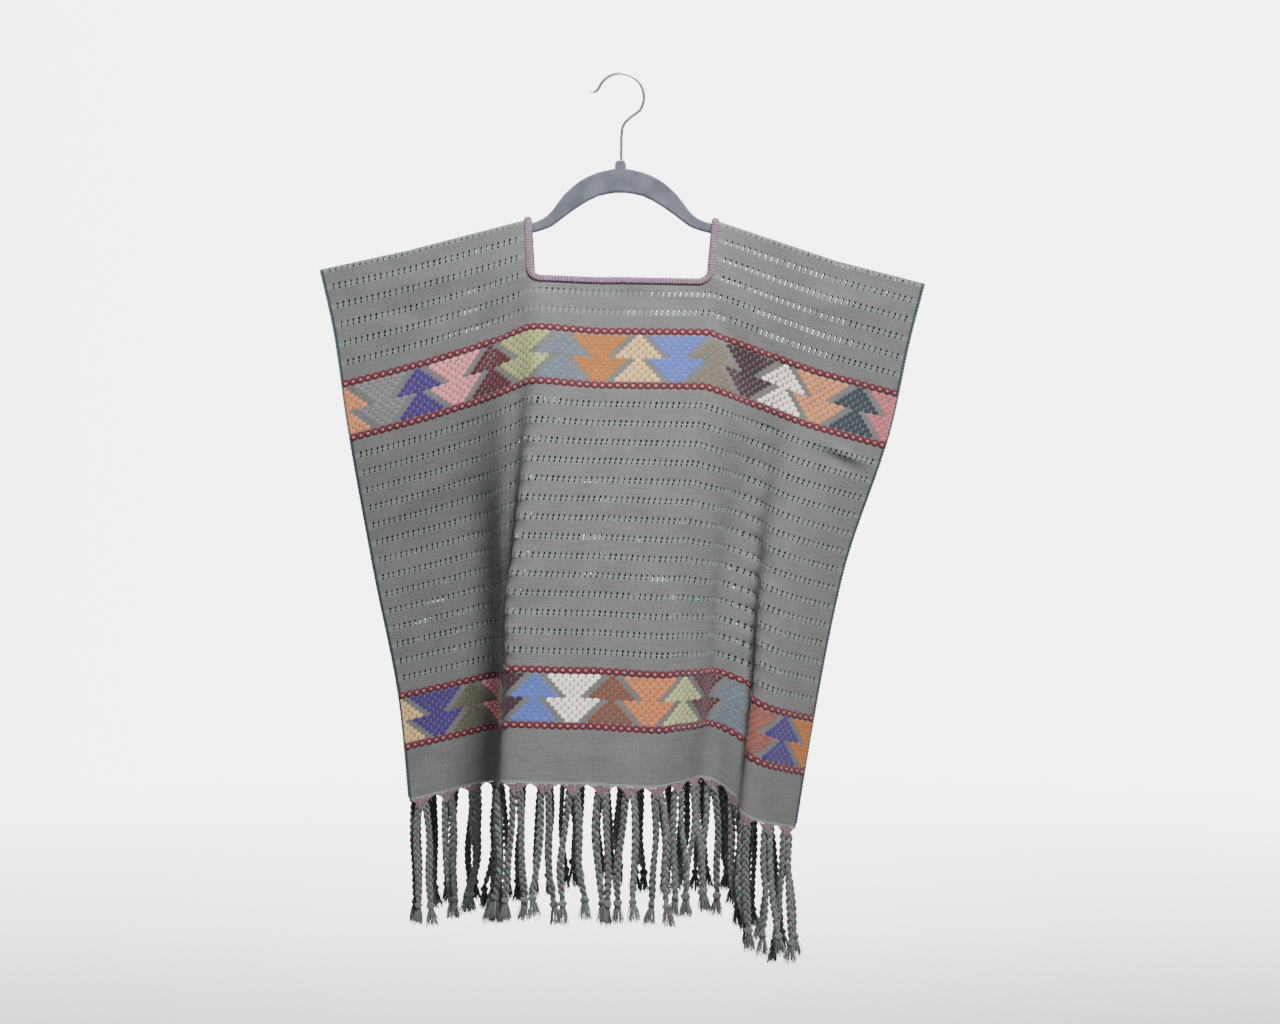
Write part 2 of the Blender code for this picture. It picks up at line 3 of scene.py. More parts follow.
import bpy
import numpy as np
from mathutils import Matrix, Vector


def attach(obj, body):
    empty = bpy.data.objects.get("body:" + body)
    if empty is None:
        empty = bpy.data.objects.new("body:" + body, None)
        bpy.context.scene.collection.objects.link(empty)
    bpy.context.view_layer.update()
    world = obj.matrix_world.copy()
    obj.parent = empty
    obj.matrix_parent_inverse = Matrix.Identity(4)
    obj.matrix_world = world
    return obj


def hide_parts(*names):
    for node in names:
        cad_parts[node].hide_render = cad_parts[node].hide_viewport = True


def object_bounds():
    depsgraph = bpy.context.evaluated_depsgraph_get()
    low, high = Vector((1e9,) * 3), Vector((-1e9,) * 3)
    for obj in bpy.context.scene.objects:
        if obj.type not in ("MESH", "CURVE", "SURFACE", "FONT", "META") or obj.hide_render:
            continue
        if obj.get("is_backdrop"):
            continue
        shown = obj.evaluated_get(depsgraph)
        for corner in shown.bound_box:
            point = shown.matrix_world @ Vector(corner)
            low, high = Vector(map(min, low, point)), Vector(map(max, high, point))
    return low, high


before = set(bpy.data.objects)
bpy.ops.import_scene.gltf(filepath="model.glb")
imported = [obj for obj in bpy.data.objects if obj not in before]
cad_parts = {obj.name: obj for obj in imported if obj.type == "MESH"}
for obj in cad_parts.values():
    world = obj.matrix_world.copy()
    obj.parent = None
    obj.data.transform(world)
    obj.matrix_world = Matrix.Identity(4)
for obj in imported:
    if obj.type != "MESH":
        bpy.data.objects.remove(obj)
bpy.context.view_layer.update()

# Studio: a pale floor that fades into a pale room, soft lights from the front,
# the right and above, and a level camera 1.9 m in front of the garment.
FLOOR_HEIGHT = -1.45
FLOOR_RADIUS = 6.0
FLOOR_FADE = (1.2, 5.4)
FLOOR_PALE = "e9e9ea"
ROOM_PALE = "f3f3f4"
ROOM_BRIGHT = 6.4
ROOM_EVEN = 0.24
BACK_WALL_EDGE = (0.78, 0.92)
ROOM_DIM_SHARE = 0.5
DIM_SIDE_EDGE = (-1.0, -0.2)
CAMERA_PLACE = (0.0201, -1.900, -0.4501)
PHOTO_WIDTH = 1.3184
SENSOR_MM = 36.0


def linear(colour):
    """An sRGB hex colour as linear RGB with full alpha."""
    parts = [int(colour[k:k + 2], 16) / 255.0 for k in (0, 2, 4)]
    return (*(p / 12.92 if p <= 0.04045 else ((p + 0.055) / 1.055) ** 2.4 for p in parts), 1.0)


def new_material(name, finish):
    """A material, its node tree and its principled shader with the finish given."""
    material = bpy.data.materials.new(name)
    material.use_nodes = True
    shader = material.node_tree.nodes["Principled BSDF"]
    for key, value in finish.items():
        shader.inputs[key].default_value = value
    return material, material.node_tree, shader


def add(tree, kind, settings=None, feeds=None):
    """One node with its settings, each input fed by a socket or given a value."""
    made = tree.nodes.new(kind)
    for key, value in (settings or {}).items():
        setattr(made, key, value)
    for key, value in (feeds or {}).items():
        if isinstance(value, bpy.types.NodeSocket):
            tree.links.new(value, made.inputs[key])
        else:
            made.inputs[key].default_value = value
    return made


def calc(tree, operation, *values):
    """The values worked into one by a math node."""
    made = add(tree, "ShaderNodeMath", {"operation": operation}, dict(enumerate(values)))
    return made.outputs["Value"]


def remap(tree, value, low, high, to_low=0.0, to_high=1.0, easing="LINEAR"):
    """A value moved from one range to another and held at both ends."""
    made = add(tree, "ShaderNodeMapRange", {"interpolation_type": easing},
               {"Value": value, "From Min": low, "From Max": high, "To Min": to_low, "To Max": to_high})
    return made.outputs["Result"]


def stretched(tree, place, scale):
    """A place with each of its axes scaled on its own."""
    return add(tree, "ShaderNodeMapping", None, {"Vector": place, "Scale": scale}).outputs["Vector"]


def noise(tree, place, detail, scale=1.0, dimensions="3D"):
    """Soft noise about 0.5 at a place."""
    made = add(tree, "ShaderNodeTexNoise", {"noise_dimensions": dimensions},
               {"Vector": place, "Scale": scale, "Detail": detail})
    return made.outputs["Fac"]


def grain(tree, size, detail):
    """Noise in grains of a size in metres, which stays where it is on the object."""
    return noise(tree, add(tree, "ShaderNodeTexCoord").outputs["Object"], detail, scale=1.0 / size)


def ramp(tree, value, stops):
    """The colour at a value, between stops that each give a place and an sRGB colour."""
    made = add(tree, "ShaderNodeValToRGB", None, {"Fac": value})
    held = made.color_ramp.elements
    while len(held) < len(stops):
        held.new(0.5)
    for stop, (position, colour) in zip(held, stops):
        stop.position = position
        stop.color = linear(colour)
    return made.outputs["Color"]


def lightened(tree, colour, factor):
    """A colour made lighter or darker by a factor."""
    made = add(tree, "ShaderNodeVectorMath", {"operation": "SCALE"}, {0: colour, "Scale": factor})
    return made.outputs["Vector"]


def mixed(tree, share, colour, other):
    """A colour with a share of an sRGB colour mixed in."""
    made = add(tree, "ShaderNodeMix", {"data_type": "RGBA"}, {0: share, 6: colour, 7: linear(other)})
    return made.outputs[2]


def coat(tree, shader, colour, height, strength, depth):
    """Give a shader its colour and a relief from the height, so many metres deep."""
    tree.links.new(colour, shader.inputs["Base Color"])
    bump = add(tree, "ShaderNodeBump", None, {"Height": height, "Strength": strength, "Distance": depth})
    tree.links.new(bump.outputs["Normal"], shader.inputs["Normal"])


def deselect():
    for other in bpy.context.selected_objects:
        other.select_set(False)


deselect()
bpy.ops.mesh.primitive_circle_add(vertices=96, radius=FLOOR_RADIUS, fill_type="NGON",
                                  location=(0.0, 0.0, FLOOR_HEIGHT))
floor = bpy.context.object
floor.name = "studio_floor"
# Matt painted floor: no gloss, and it thins out to the room's own white at its rim
floor_paint, tree, shader = new_material(
    "matt_floor_paint", {"Base Color": linear(FLOOR_PALE), "Roughness": 0.9})
place = add(tree, "ShaderNodeTexCoord")
far = add(tree, "ShaderNodeVectorMath", {"operation": "LENGTH"}, {0: place.outputs["Object"]})
fade = remap(tree, far.outputs["Value"], *FLOOR_FADE, easing="SMOOTHSTEP")
clear = add(tree, "ShaderNodeBsdfTransparent")
blend = add(tree, "ShaderNodeMixShader", None,
            {0: fade, 1: shader.outputs["BSDF"], 2: clear.outputs["BSDF"]})
tree.links.new(blend.outputs["Shader"], tree.nodes["Material Output"].inputs["Surface"])
floor.data.materials.append(floor_paint)
floor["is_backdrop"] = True

# The room: a bright pale wall behind, the other sides less bright, and the side
# away from the windows, on the garment's left, the dimmest
room = bpy.data.worlds.new("pale_room")
room.use_nodes = True
tree = room.node_tree
outlook = add(tree, "ShaderNodeTexCoord")
outlook_parts = add(tree, "ShaderNodeSeparateXYZ", None, {0: outlook.outputs["Generated"]})
wall_light = remap(tree, outlook_parts.outputs["Y"], *BACK_WALL_EDGE, ROOM_EVEN, ROOM_BRIGHT,
                   easing="SMOOTHSTEP")
side_light = remap(tree, outlook_parts.outputs["X"], *DIM_SIDE_EDGE, ROOM_DIM_SHARE, 1.0,
                   easing="SMOOTHSTEP")
walls = tree.nodes["Background"]
walls.inputs["Color"].default_value = linear(ROOM_PALE)
tree.links.new(calc(tree, "MULTIPLY", wall_light, side_light), walls.inputs["Strength"])
bpy.context.scene.world = room

# Soft boxes: name, place, what each faces, size, spread in degrees and power
SOFT_BOXES = (
    ("high_front", (0.58, -1.60, 1.90), (0.0, 0.0, -0.36), 0.6, 52.0, 22.0),
    ("rear_window", (0.6, 2.6, 0.6), (0.0, 0.0, -0.5), 1.6, 60.0, 9.0),
    ("floor_wash", (0.0, 3.4, 1.2), (0.0, 3.6, FLOOR_HEIGHT), 1.6, 110.0, 120.0),
)
for name, spot, aim, size, spread, power in SOFT_BOXES:
    lamp = bpy.data.lights.new(name, "AREA")
    lamp.size = size
    lamp.spread = radians(spread)
    lamp.energy = power
    holder = bpy.data.objects.new(name, lamp)
    holder.location = spot
    holder.rotation_euler = (Vector(aim) - Vector(spot)).to_track_quat("-Z", "Y").to_euler()
    bpy.context.collection.objects.link(holder)

lens = bpy.data.cameras.new("camera")
lens.sensor_width = SENSOR_MM
lens.lens = SENSOR_MM * -CAMERA_PLACE[1] / PHOTO_WIDTH
camera = bpy.data.objects.new("camera", lens)
camera.location = CAMERA_PLACE
camera.rotation_euler = (radians(90.0), 0.0, 0.0)
bpy.context.collection.objects.link(camera)
bpy.context.scene.camera = camera

# Front and back of the web: one length of grey cotton, warps of teal and mauve
# grey, folded over the hanger at the shoulders. Rows of openwork are left in the
# weaving, where the crossed warps leave a slanted slit over a smaller one.
HALF_WIDTH = 0.309
LENGTH = 0.584
WALL = 0.0008
CAD_WALL = 0.0012
SEAM_GAP = 0.0003
HANGER_THICK = 0.0055
ARMHOLE_END = 0.178
ARMHOLE_GAP = 0.016
ARMHOLE_FADE = 0.110
NECK_LEFT = -0.100
NECK_RIGHT = 0.095
NECK_DEPTH = 0.073
NECK_CORNER = 0.017
FOLD_ROUND = 0.026
FOLD_SAMPLES = 9
FOLD_SOFTNESS = 0.45
SETTLE_ROUNDS = 5
LEAST_REACH = 0.004
LEAST_DROP = 0.02
FRINGE_STRIP = 0.0050
BAND_TOPS = (0.122, 0.469)
BAND_BOTTOMS = (0.178, 0.525)
OPENWORK_UPPER = (0.0045, *(0.0030 + 0.0197 * k for k in range(1, 6)))
OPENWORK_LOWER = tuple(0.178 + 0.0194 * k for k in range(1, 15))
SLITS = (34, 32, 35)
SLIT_UP = 0.0032
SLIT_PINCH = 0.0004
SLIT_DOWN = 0.0030
SLIT_LEAN = ((0.44, 0.72), (0.32, 0.70), (0.36, 0.62), (0.26, 0.56))
SLIT_OFF_NECK = 0.004
SLIT_OPEN = (0.66, 0.44)
SLIT_SWING = 0.10
# Share of lightened teal on each slit line: the crossed warps' teal with painted highlight
SLIT_TEAL_HIGHLIGHT = (0.0, 0.55, 1.0, 0.40)
TEAL_REACH = 0.0042
HEM_LINE = 0.0032
HEM_TEAL = 1.6
HEM_TEAL_LINES = (0.0022, 0.0012)
ROW_MIDDLE = 0.0098
PLAIN_RUNS = ((0.1065, 0.1940), (0.4600, 0.5780))
PLAIN_STEP = 0.0062
NEAR_FOLD = (0.0, 0.0012, 0.0025, 0.0040, 0.0060, 0.0090, 0.0130)
OFF_FOLD = 0.018
GRID_ROWS = 150
GRID_COLUMNS = 207
CREASE_FADE = 0.020
SAME_PLACE = 1e-6

# Heights along the web at which the tables give each fold, as on the solids
LEVELS = (0.0, 0.070, 0.150, 0.320, 0.490, 0.584)
LEFT_EDGE = (-0.3090, -0.2945, -0.2840, -0.2600, -0.2345, -0.2275)
RIGHT_EDGE = (0.3130, 0.2960, 0.2810, 0.2300, 0.1970, 0.1820)
SHOULDER = (
    (-0.309, -0.2006), (-0.219, -0.1808), (-0.100, -0.1500), (0.000, -0.1475),
    (0.095, -0.1515), (0.219, -0.1920), (0.309, -0.2150),
)
# Each fold: u at the shoulder and at the hem, how far it stands back, and its lift
FRONT_FOLDS = {
    "left_edge": (-0.309, -0.309, (0.0, 0.003, 0.008, 0.038, 0.070, 0.082),
                  (0.0, 0.000, -0.001, 0.003, 0.009, 0.008)),
    "left_base": (-0.150, -0.211, (0.0, 0.000, 0.002, 0.040, 0.070, 0.080),
                  (0.0, 0.002, 0.005, 0.004, 0.009, 0.010)),
    "left_crest": (-0.090, -0.093, (0.0, -0.018, -0.030, -0.040, -0.046, -0.048),
                   (0.0, 0.002, 0.006, 0.003, 0.004, 0.004)),
    "centre": (-0.010, -0.010, (0.0, -0.008, -0.018, -0.036, -0.044, -0.046),
               (0.0, 0.000, 0.000, 0.000, 0.001, 0.001)),
    "box_corner": (0.105, 0.084, (0.0, -0.010, -0.020, -0.032, -0.038, -0.038),
                   (0.0, 0.002, 0.003, -0.001, -0.002, -0.002)),
    "right_valley": (0.150, 0.158, (0.0, 0.002, 0.009, 0.020, 0.027, 0.030),
                     (0.0, 0.003, 0.006, 0.012, 0.020, 0.022)),
    "right_rise": (0.190, 0.193, (0.0, 0.000, 0.004, 0.008, 0.008, 0.009),
                   (0.0, 0.002, 0.005, 0.011, 0.021, 0.022)),
    "right_crest": (0.225, 0.234, (0.0, -0.002, 0.000, -0.012, -0.024, -0.024),
                    (0.0, 0.001, 0.004, 0.004, 0.003, 0.002)),
    "right_edge": (0.309, 0.309, (0.0, 0.002, 0.006, 0.018, 0.022, 0.024),
                   (0.0, 0.000, 0.004, 0.003, 0.001, 0.000)),
}
BACK_FOLDS = {
    "left_edge": FRONT_FOLDS["left_edge"],
    "left_ridge": (-0.245, -0.252, (0.0, 0.012, 0.026, 0.080, 0.120, 0.134),
                   (0.0, 0.000, 0.002, 0.004, 0.010, 0.010)),
    "left_valley": (-0.118, -0.104, (0.0, 0.004, 0.010, 0.032, 0.054, 0.060),
                    (0.0, 0.002, 0.005, 0.004, 0.006, 0.006)),
    "mid_ridge": (-0.030, -0.022, (0.0, 0.014, 0.038, 0.088, 0.120, 0.132),
                  (0.0, 0.000, 0.002, 0.003, 0.004, 0.004)),
    "mid_valley": (0.075, 0.070, (0.0, 0.008, 0.016, 0.036, 0.054, 0.060),
                   (0.0, 0.003, 0.006, 0.006, 0.006, 0.006)),
    "right_ridge": (0.180, 0.170, (0.0, 0.010, 0.032, 0.086, 0.122, 0.134),
                    (0.0, 0.002, 0.005, 0.008, 0.010, 0.010)),
    "right_edge": FRONT_FOLDS["right_edge"],
}
# Creases, given one by one: u, v, half length, half width, degrees down to the right, height
FRONT_CREASES = (
    (0.266, 0.196, 0.030, 0.0042, 10.0, 0.0030),
    (0.272, 0.207, 0.028, 0.0044, 7.0, -0.0026),
    (0.022, 0.086, 0.034, 0.0042, 3.0, -0.0014),
    (0.050, 0.080, 0.030, 0.0030, 6.0, 0.0010),
    (-0.195, 0.040, 0.060, 0.010, 6.0, 0.0016),
    (-0.235, 0.066, 0.045, 0.009, 19.0, -0.0014),
    (0.215, 0.050, 0.050, 0.010, -11.0, 0.0015),
    (-0.150, 0.105, 0.050, 0.008, -37.0, -0.0012),
    (0.165, 0.105, 0.050, 0.009, 35.0, 0.0014),
    (-0.250, 0.260, 0.050, 0.010, -17.0, 0.0012),
    (0.040, 0.300, 0.080, 0.014, 5.0, 0.0010),
    (-0.045, 0.400, 0.070, 0.012, -7.0, -0.0010),
    (0.205, 0.330, 0.055, 0.009, 24.0, -0.0012),
    (0.000, 0.555, 0.075, 0.009, 2.0, 0.0010),
    (-0.090, 0.350, 0.230, 0.009, 90.5, 0.0050),
    (-0.115, 0.420, 0.230, 0.014, 91.0, -0.0110),
    (0.128, 0.410, 0.230, 0.018, 89.0, 0.0100),
    (0.150, 0.410, 0.230, 0.020, 89.0, 0.0100),
    (0.197, 0.400, 0.220, 0.015, 85.5, -0.0140),
    (0.118, 0.128, 0.050, 0.012, 62.0, -0.0050),
    (0.150, 0.120, 0.050, 0.013, 62.0, 0.0026),
    (-0.128, 0.110, 0.045, 0.010, -60.0, -0.0030),
)
BACK_CREASES = (
    (0.210, 0.050, 0.060, 0.011, -10.0, 0.0016),
    (-0.190, 0.055, 0.060, 0.011, 11.0, 0.0016),
    (-0.130, 0.110, 0.050, 0.009, -31.0, -0.0013),
    (0.140, 0.110, 0.050, 0.009, 31.0, -0.0013),
    (0.000, 0.300, 0.080, 0.014, 6.0, 0.0010),
    (-0.180, 0.350, 0.060, 0.011, 17.0, 0.0012),
    (0.190, 0.420, 0.060, 0.011, -17.0, -0.0012),
    (-0.100, 0.400, 0.180, 0.012, 90.0, -0.0026),
    (-0.026, 0.380, 0.190, 0.011, 90.0, 0.0024),
    (0.172, 0.400, 0.180, 0.011, 92.0, 0.0024),
)


def along_levels(values, v):
    """A smooth curve through the values that a table gives at LEVELS."""
    level = np.array(LEVELS)
    value = np.array(values, float)
    span = np.diff(level)
    slope = np.diff(value) / span
    tangent = np.array([slope[0], *np.zeros(len(value) - 2), slope[-1]])
    for i in range(1, len(value) - 1):
        if slope[i - 1] * slope[i] > 0.0:
            before = 2.0 * span[i] + span[i - 1]
            after = span[i] + 2.0 * span[i - 1]
            tangent[i] = (before + after) / (before / slope[i - 1] + after / slope[i])
    v = np.clip(v, level[0], level[-1])
    i = np.clip(np.searchsorted(level, v, side="right") - 1, 0, len(span) - 1)
    t = (v - level[i]) / span[i]
    rise = (1.0 + 2.0 * t) * (1.0 - t) ** 2 * value[i]
    rise += t * (1.0 - t) ** 2 * span[i] * tangent[i]
    rise += t * t * (3.0 - 2.0 * t) * value[i + 1]
    return rise + t * t * (t - 1.0) * span[i] * tangent[i + 1]


def across_folds(fold_u, fold_value, u):
    """Straight flanks between folds, rounded over FOLD_ROUND at each fold."""
    first = fold_u[0]
    last = fold_u[-1]
    steps = np.linspace(-1.0, 1.0, FOLD_SAMPLES)
    weights = np.cos(steps * pi * FOLD_SOFTNESS)
    total = np.zeros_like(u)
    for step, weight in zip(steps, weights):
        at = u + step * FOLD_ROUND
        mirrored = np.where(at < first, 2.0 * first - at, at)
        mirrored = np.where(at > last, 2.0 * last - at, mirrored)
        value = np.interp(mirrored, fold_u, fold_value)
        value = np.where(at < first, 2.0 * fold_value[0] - value, value)
        value = np.where(at > last, 2.0 * fold_value[-1] - value, value)
        total += weight * value
    return total / weights.sum()


def fold_field(folds, column, us, vs):
    """One column of a fold table spread over the web."""
    field = np.zeros((len(vs), len(us)))
    for row, v in enumerate(vs):
        share = min(v / LENGTH, 1.0)
        fold_u = np.array([f[0] + (f[1] - f[0]) * share for f in folds.values()])
        fold_value = np.array([float(along_levels(f[column], v)) for f in folds.values()])
        field[row] = across_folds(fold_u, fold_value, us)
    return field


def web_points(side, us, vs):
    """Middle of the cloth at every u and v: side is -1 in front and 1 behind."""
    folds = FRONT_FOLDS if side < 0 else BACK_FOLDS
    over_arm = HANGER_THICK / 2.0 + SEAM_GAP + CAD_WALL / 2.0
    bend = np.minimum(vs / over_arm, pi / 2.0)
    back = fold_field(folds, 2, us, vs)
    sewn = np.clip(vs / ARMHOLE_END, 0.0, 1.0)
    off_arm = 1.0 - sewn * sewn * (3.0 - 2.0 * sewn)
    back += side * (over_arm * np.sin(bend) * off_arm)[:, None]
    if side > 0:
        from_edge = np.minimum(us + HALF_WIDTH, HALF_WIDTH - us) / ARMHOLE_FADE
        fade = np.clip(1.0 - from_edge, 0.0, 1.0) ** 2
        back += (ARMHOLE_GAP * np.sin(pi * sewn))[:, None] * fade[None, :]
    half_gap = (CAD_WALL * np.sin(bend) + SEAM_GAP) / 2.0
    back += side * half_gap[:, None]
    lift = fold_field(folds, 3, us, vs)
    shoulder = np.interp(us, *zip(*SHOULDER))
    left = along_levels(LEFT_EDGE, vs)
    right = along_levels(RIGHT_EDGE, vs)
    du = np.diff(us)
    dv = np.diff(vs)[:, None]
    down = shoulder[None, :] - vs[:, None] + lift
    # The cloth doesn't stretch, so where it stands back it reaches less far
    for _ in range(SETTLE_ROUNDS):
        steep = (np.diff(back, axis=1) / du) ** 2 + (np.diff(down, axis=1) / du) ** 2
        reach = np.sqrt(np.clip(1.0 - steep, LEAST_REACH, 1.0)) * du
        reach = np.hstack([np.zeros((len(vs), 1)), np.cumsum(reach, axis=1)])
        across = left[:, None] + reach * ((right - left) / reach[:, -1])[:, None]
        lean = (np.diff(across, axis=0) / dv) ** 2 + (np.diff(back, axis=0) / dv) ** 2
        drop = np.sqrt(np.clip(1.0 - lean, LEAST_DROP, 1.0)) * dv
        drop = np.vstack([np.zeros((1, len(us))), np.cumsum(drop, axis=0)])
        down = shoulder[None, :] - drop + lift
    return np.stack([across, back, down], axis=2)


def unit(vectors):
    """The same directions, each one unit long."""
    return vectors / np.linalg.norm(vectors, axis=-1)[..., None]


class Web:
    """One half of the web: its middle points and outward normals at any u and v."""

    def __init__(self, side, creases):
        self.side = side
        self.us = np.linspace(-HALF_WIDTH, HALF_WIDTH, GRID_COLUMNS)
        self.vs = np.concatenate([NEAR_FOLD, np.linspace(OFF_FOLD, LENGTH + FRINGE_STRIP, GRID_ROWS)])
        self.points = web_points(side, self.us, self.vs)
        self.normals = self.outward()
        self.points = self.points + self.normals * self.crease_heights(creases)[:, :, None]
        self.normals = self.outward()

    def outward(self):
        """Normals that point out of the garment, and upwards along the shoulder fold."""
        normal = np.cross(np.gradient(self.points, axis=0), np.gradient(self.points, axis=1))
        normal[0, :, 1] = 0.0
        normal = unit(normal) * -self.side
        normal[0, :, 2] = abs(normal[0, :, 2])
        return normal

    def crease_heights(self, creases):
        """Soft ridges and troughs, faded out at the shoulder fold and the side edges."""
        across, down = np.meshgrid(self.us, self.vs)
        height = np.zeros_like(across)
        for u, v, long, wide, turned, rise in creases:
            slope = radians(turned)
            run = (across - u) * cos(slope) + (down - v) * sin(slope)
            off = (down - v) * cos(slope) - (across - u) * sin(slope)
            height += rise * np.exp(-(run / long) ** 2 - (off / wide) ** 2)
        fade = np.clip(down / CREASE_FADE, 0.0, 1.0)
        return height * fade * np.clip((HALF_WIDTH - abs(across)) / CREASE_FADE, 0.0, 1.0)

    def read(self, grid, u, v):
        """A value of the grid between its four nearest points."""
        u = np.asarray(u, float)
        v = np.asarray(v, float)
        j = np.clip(np.searchsorted(self.us, u) - 1, 0, len(self.us) - 2)
        i = np.clip(np.searchsorted(self.vs, v) - 1, 0, len(self.vs) - 2)
        s = ((u - self.us[j]) / (self.us[j + 1] - self.us[j]))[..., None]
        t = ((v - self.vs[i]) / (self.vs[i + 1] - self.vs[i]))[..., None]
        upper = grid[i, j] * (1.0 - s) + grid[i, j + 1] * s
        lower = grid[i + 1, j] * (1.0 - s) + grid[i + 1, j + 1] * s
        return upper * (1.0 - t) + lower * t

    def raised(self, u, v, height):
        """Points over the cloth's middle at the height given, outwards."""
        facing = unit(self.read(self.normals, u, v))
        return self.read(self.points, u, v) + facing * np.asarray(height, float)[..., None]

    def turned(self, faces):
        """Faces wound to point outwards on this half of the web."""
        return [face[::-1] for face in faces] if self.side > 0 else faces


def finished_piece(name, points, faces, smooth_angle):
    """An object at the origin with its place in its mesh, shaded smooth."""
    mesh = bpy.data.meshes.new(name)
    mesh.from_pydata(np.asarray(points).tolist(), [], faces)
    mesh.update()
    mesh.shade_smooth()
    mesh.set_sharp_from_angle(angle=radians(smooth_angle))
    piece = bpy.data.objects.new(name, mesh)
    bpy.context.collection.objects.link(piece)
    return piece


def point_values(piece, name, values):
    """A value for each point of a piece, which its material reads."""
    layer = piece.data.attributes.new(name, "FLOAT", "POINT")
    layer.data.foreach_set("value", np.asarray(values, float))


def web_map(piece, u, v):
    """A UV map that runs once across the web and once down it."""
    at = np.zeros(len(piece.data.loops), int)
    piece.data.loops.foreach_get("vertex_index", at)
    flat = np.stack([np.asarray(u)[at] / (2.0 * HALF_WIDTH) + 0.5, 1.0 - np.asarray(v)[at] / LENGTH], 1)
    piece.data.uv_layers.new(name="web").data.foreach_set("uv", flat.ravel())


def neck_snap(u, v):
    """Round the two lower corners of the neck hole."""
    centre_v = NECK_DEPTH - NECK_CORNER
    for edge, inwards in ((NECK_LEFT, 1.0), (NECK_RIGHT, -1.0)):
        centre_u = edge + inwards * NECK_CORNER
        du = u - centre_u
        dv = v - centre_v
        if du * inwards < 0.0 and dv > 0.0:
            share = NECK_CORNER / max(sqrt(du * du + dv * dv), SAME_PLACE)
            return centre_u + du * share, centre_v + dv * share
    return u, v


def in_neck(u, v, room):
    """Whether a place is in the neck hole, made larger all round by the room."""
    return NECK_LEFT - room < u < NECK_RIGHT + room and v < NECK_DEPTH + room


def closed_wall(skin, many):
    """A skin's faces, the same turned over behind it, and faces round all its rims.

    The skin has so many points, and the points behind them follow in the same order.
    """
    directed = {(f[k - 1], f[k]) for f in skin for k in range(len(f))}
    faces = skin + [[k + many for k in reversed(f)] for f in skin]
    return faces + [[b, a, a + many, b + many] for a, b in sorted(directed) if (b, a) not in directed]


def either_way(chance, spread):
    """A random amount about zero, all within the spread."""
    return spread * (chance.rand() - 0.5)


def web_columns():
    """The lines between slits across the web, which meet the neck hole's sides."""
    stops = (-HALF_WIDTH, NECK_LEFT, NECK_RIGHT, HALF_WIDTH)
    spans = [np.linspace(stops[k], stops[k + 1], SLITS[k] + 1)[k > 0:] for k in range(3)]
    return np.concatenate(spans)


def web_lines(shift):
    """The mesh's lines down the web: height, kind, and how much teal, lightened
    with painted highlight, the cloth takes there.

    Kinds 1 to 4 are the four lines of a row of slits and 0 is plain cloth. The rows
    below the armholes are moved by the shift.
    """
    lower = [v + shift for v in OPENWORK_LOWER]
    lines = [(v, 0, 0.0) for v in (0.0, NECK_DEPTH, LENGTH - HEM_LINE, LENGTH)]
    lines += [(LENGTH - v, 0, HEM_TEAL) for v in HEM_TEAL_LINES]
    for v in (*OPENWORK_UPPER, *lower):
        if v > TEAL_REACH + 0.001:
            lines.append((v - TEAL_REACH, 0, 0.0))
        places = (v - SLIT_UP, v - SLIT_PINCH, v + SLIT_PINCH, v + SLIT_DOWN)
        lines += [(place, kind, tint) for place, kind, tint in zip(places, (1, 2, 3, 4), SLIT_TEAL_HIGHLIGHT)]
        lines.append((v + TEAL_REACH, 0, 0.0))
    for first, last in PLAIN_RUNS:
        lines += [(v, 0, 0.0) for v in np.linspace(first, last, int((last - first) / PLAIN_STEP))]
    mids = [v + ROW_MIDDLE for v in (*lower[:-1], *OPENWORK_UPPER[:-1])]
    lines += [(v, 0, 0.0) for v in mids if abs(v - NECK_DEPTH) > 0.002]
    return sorted(lines)


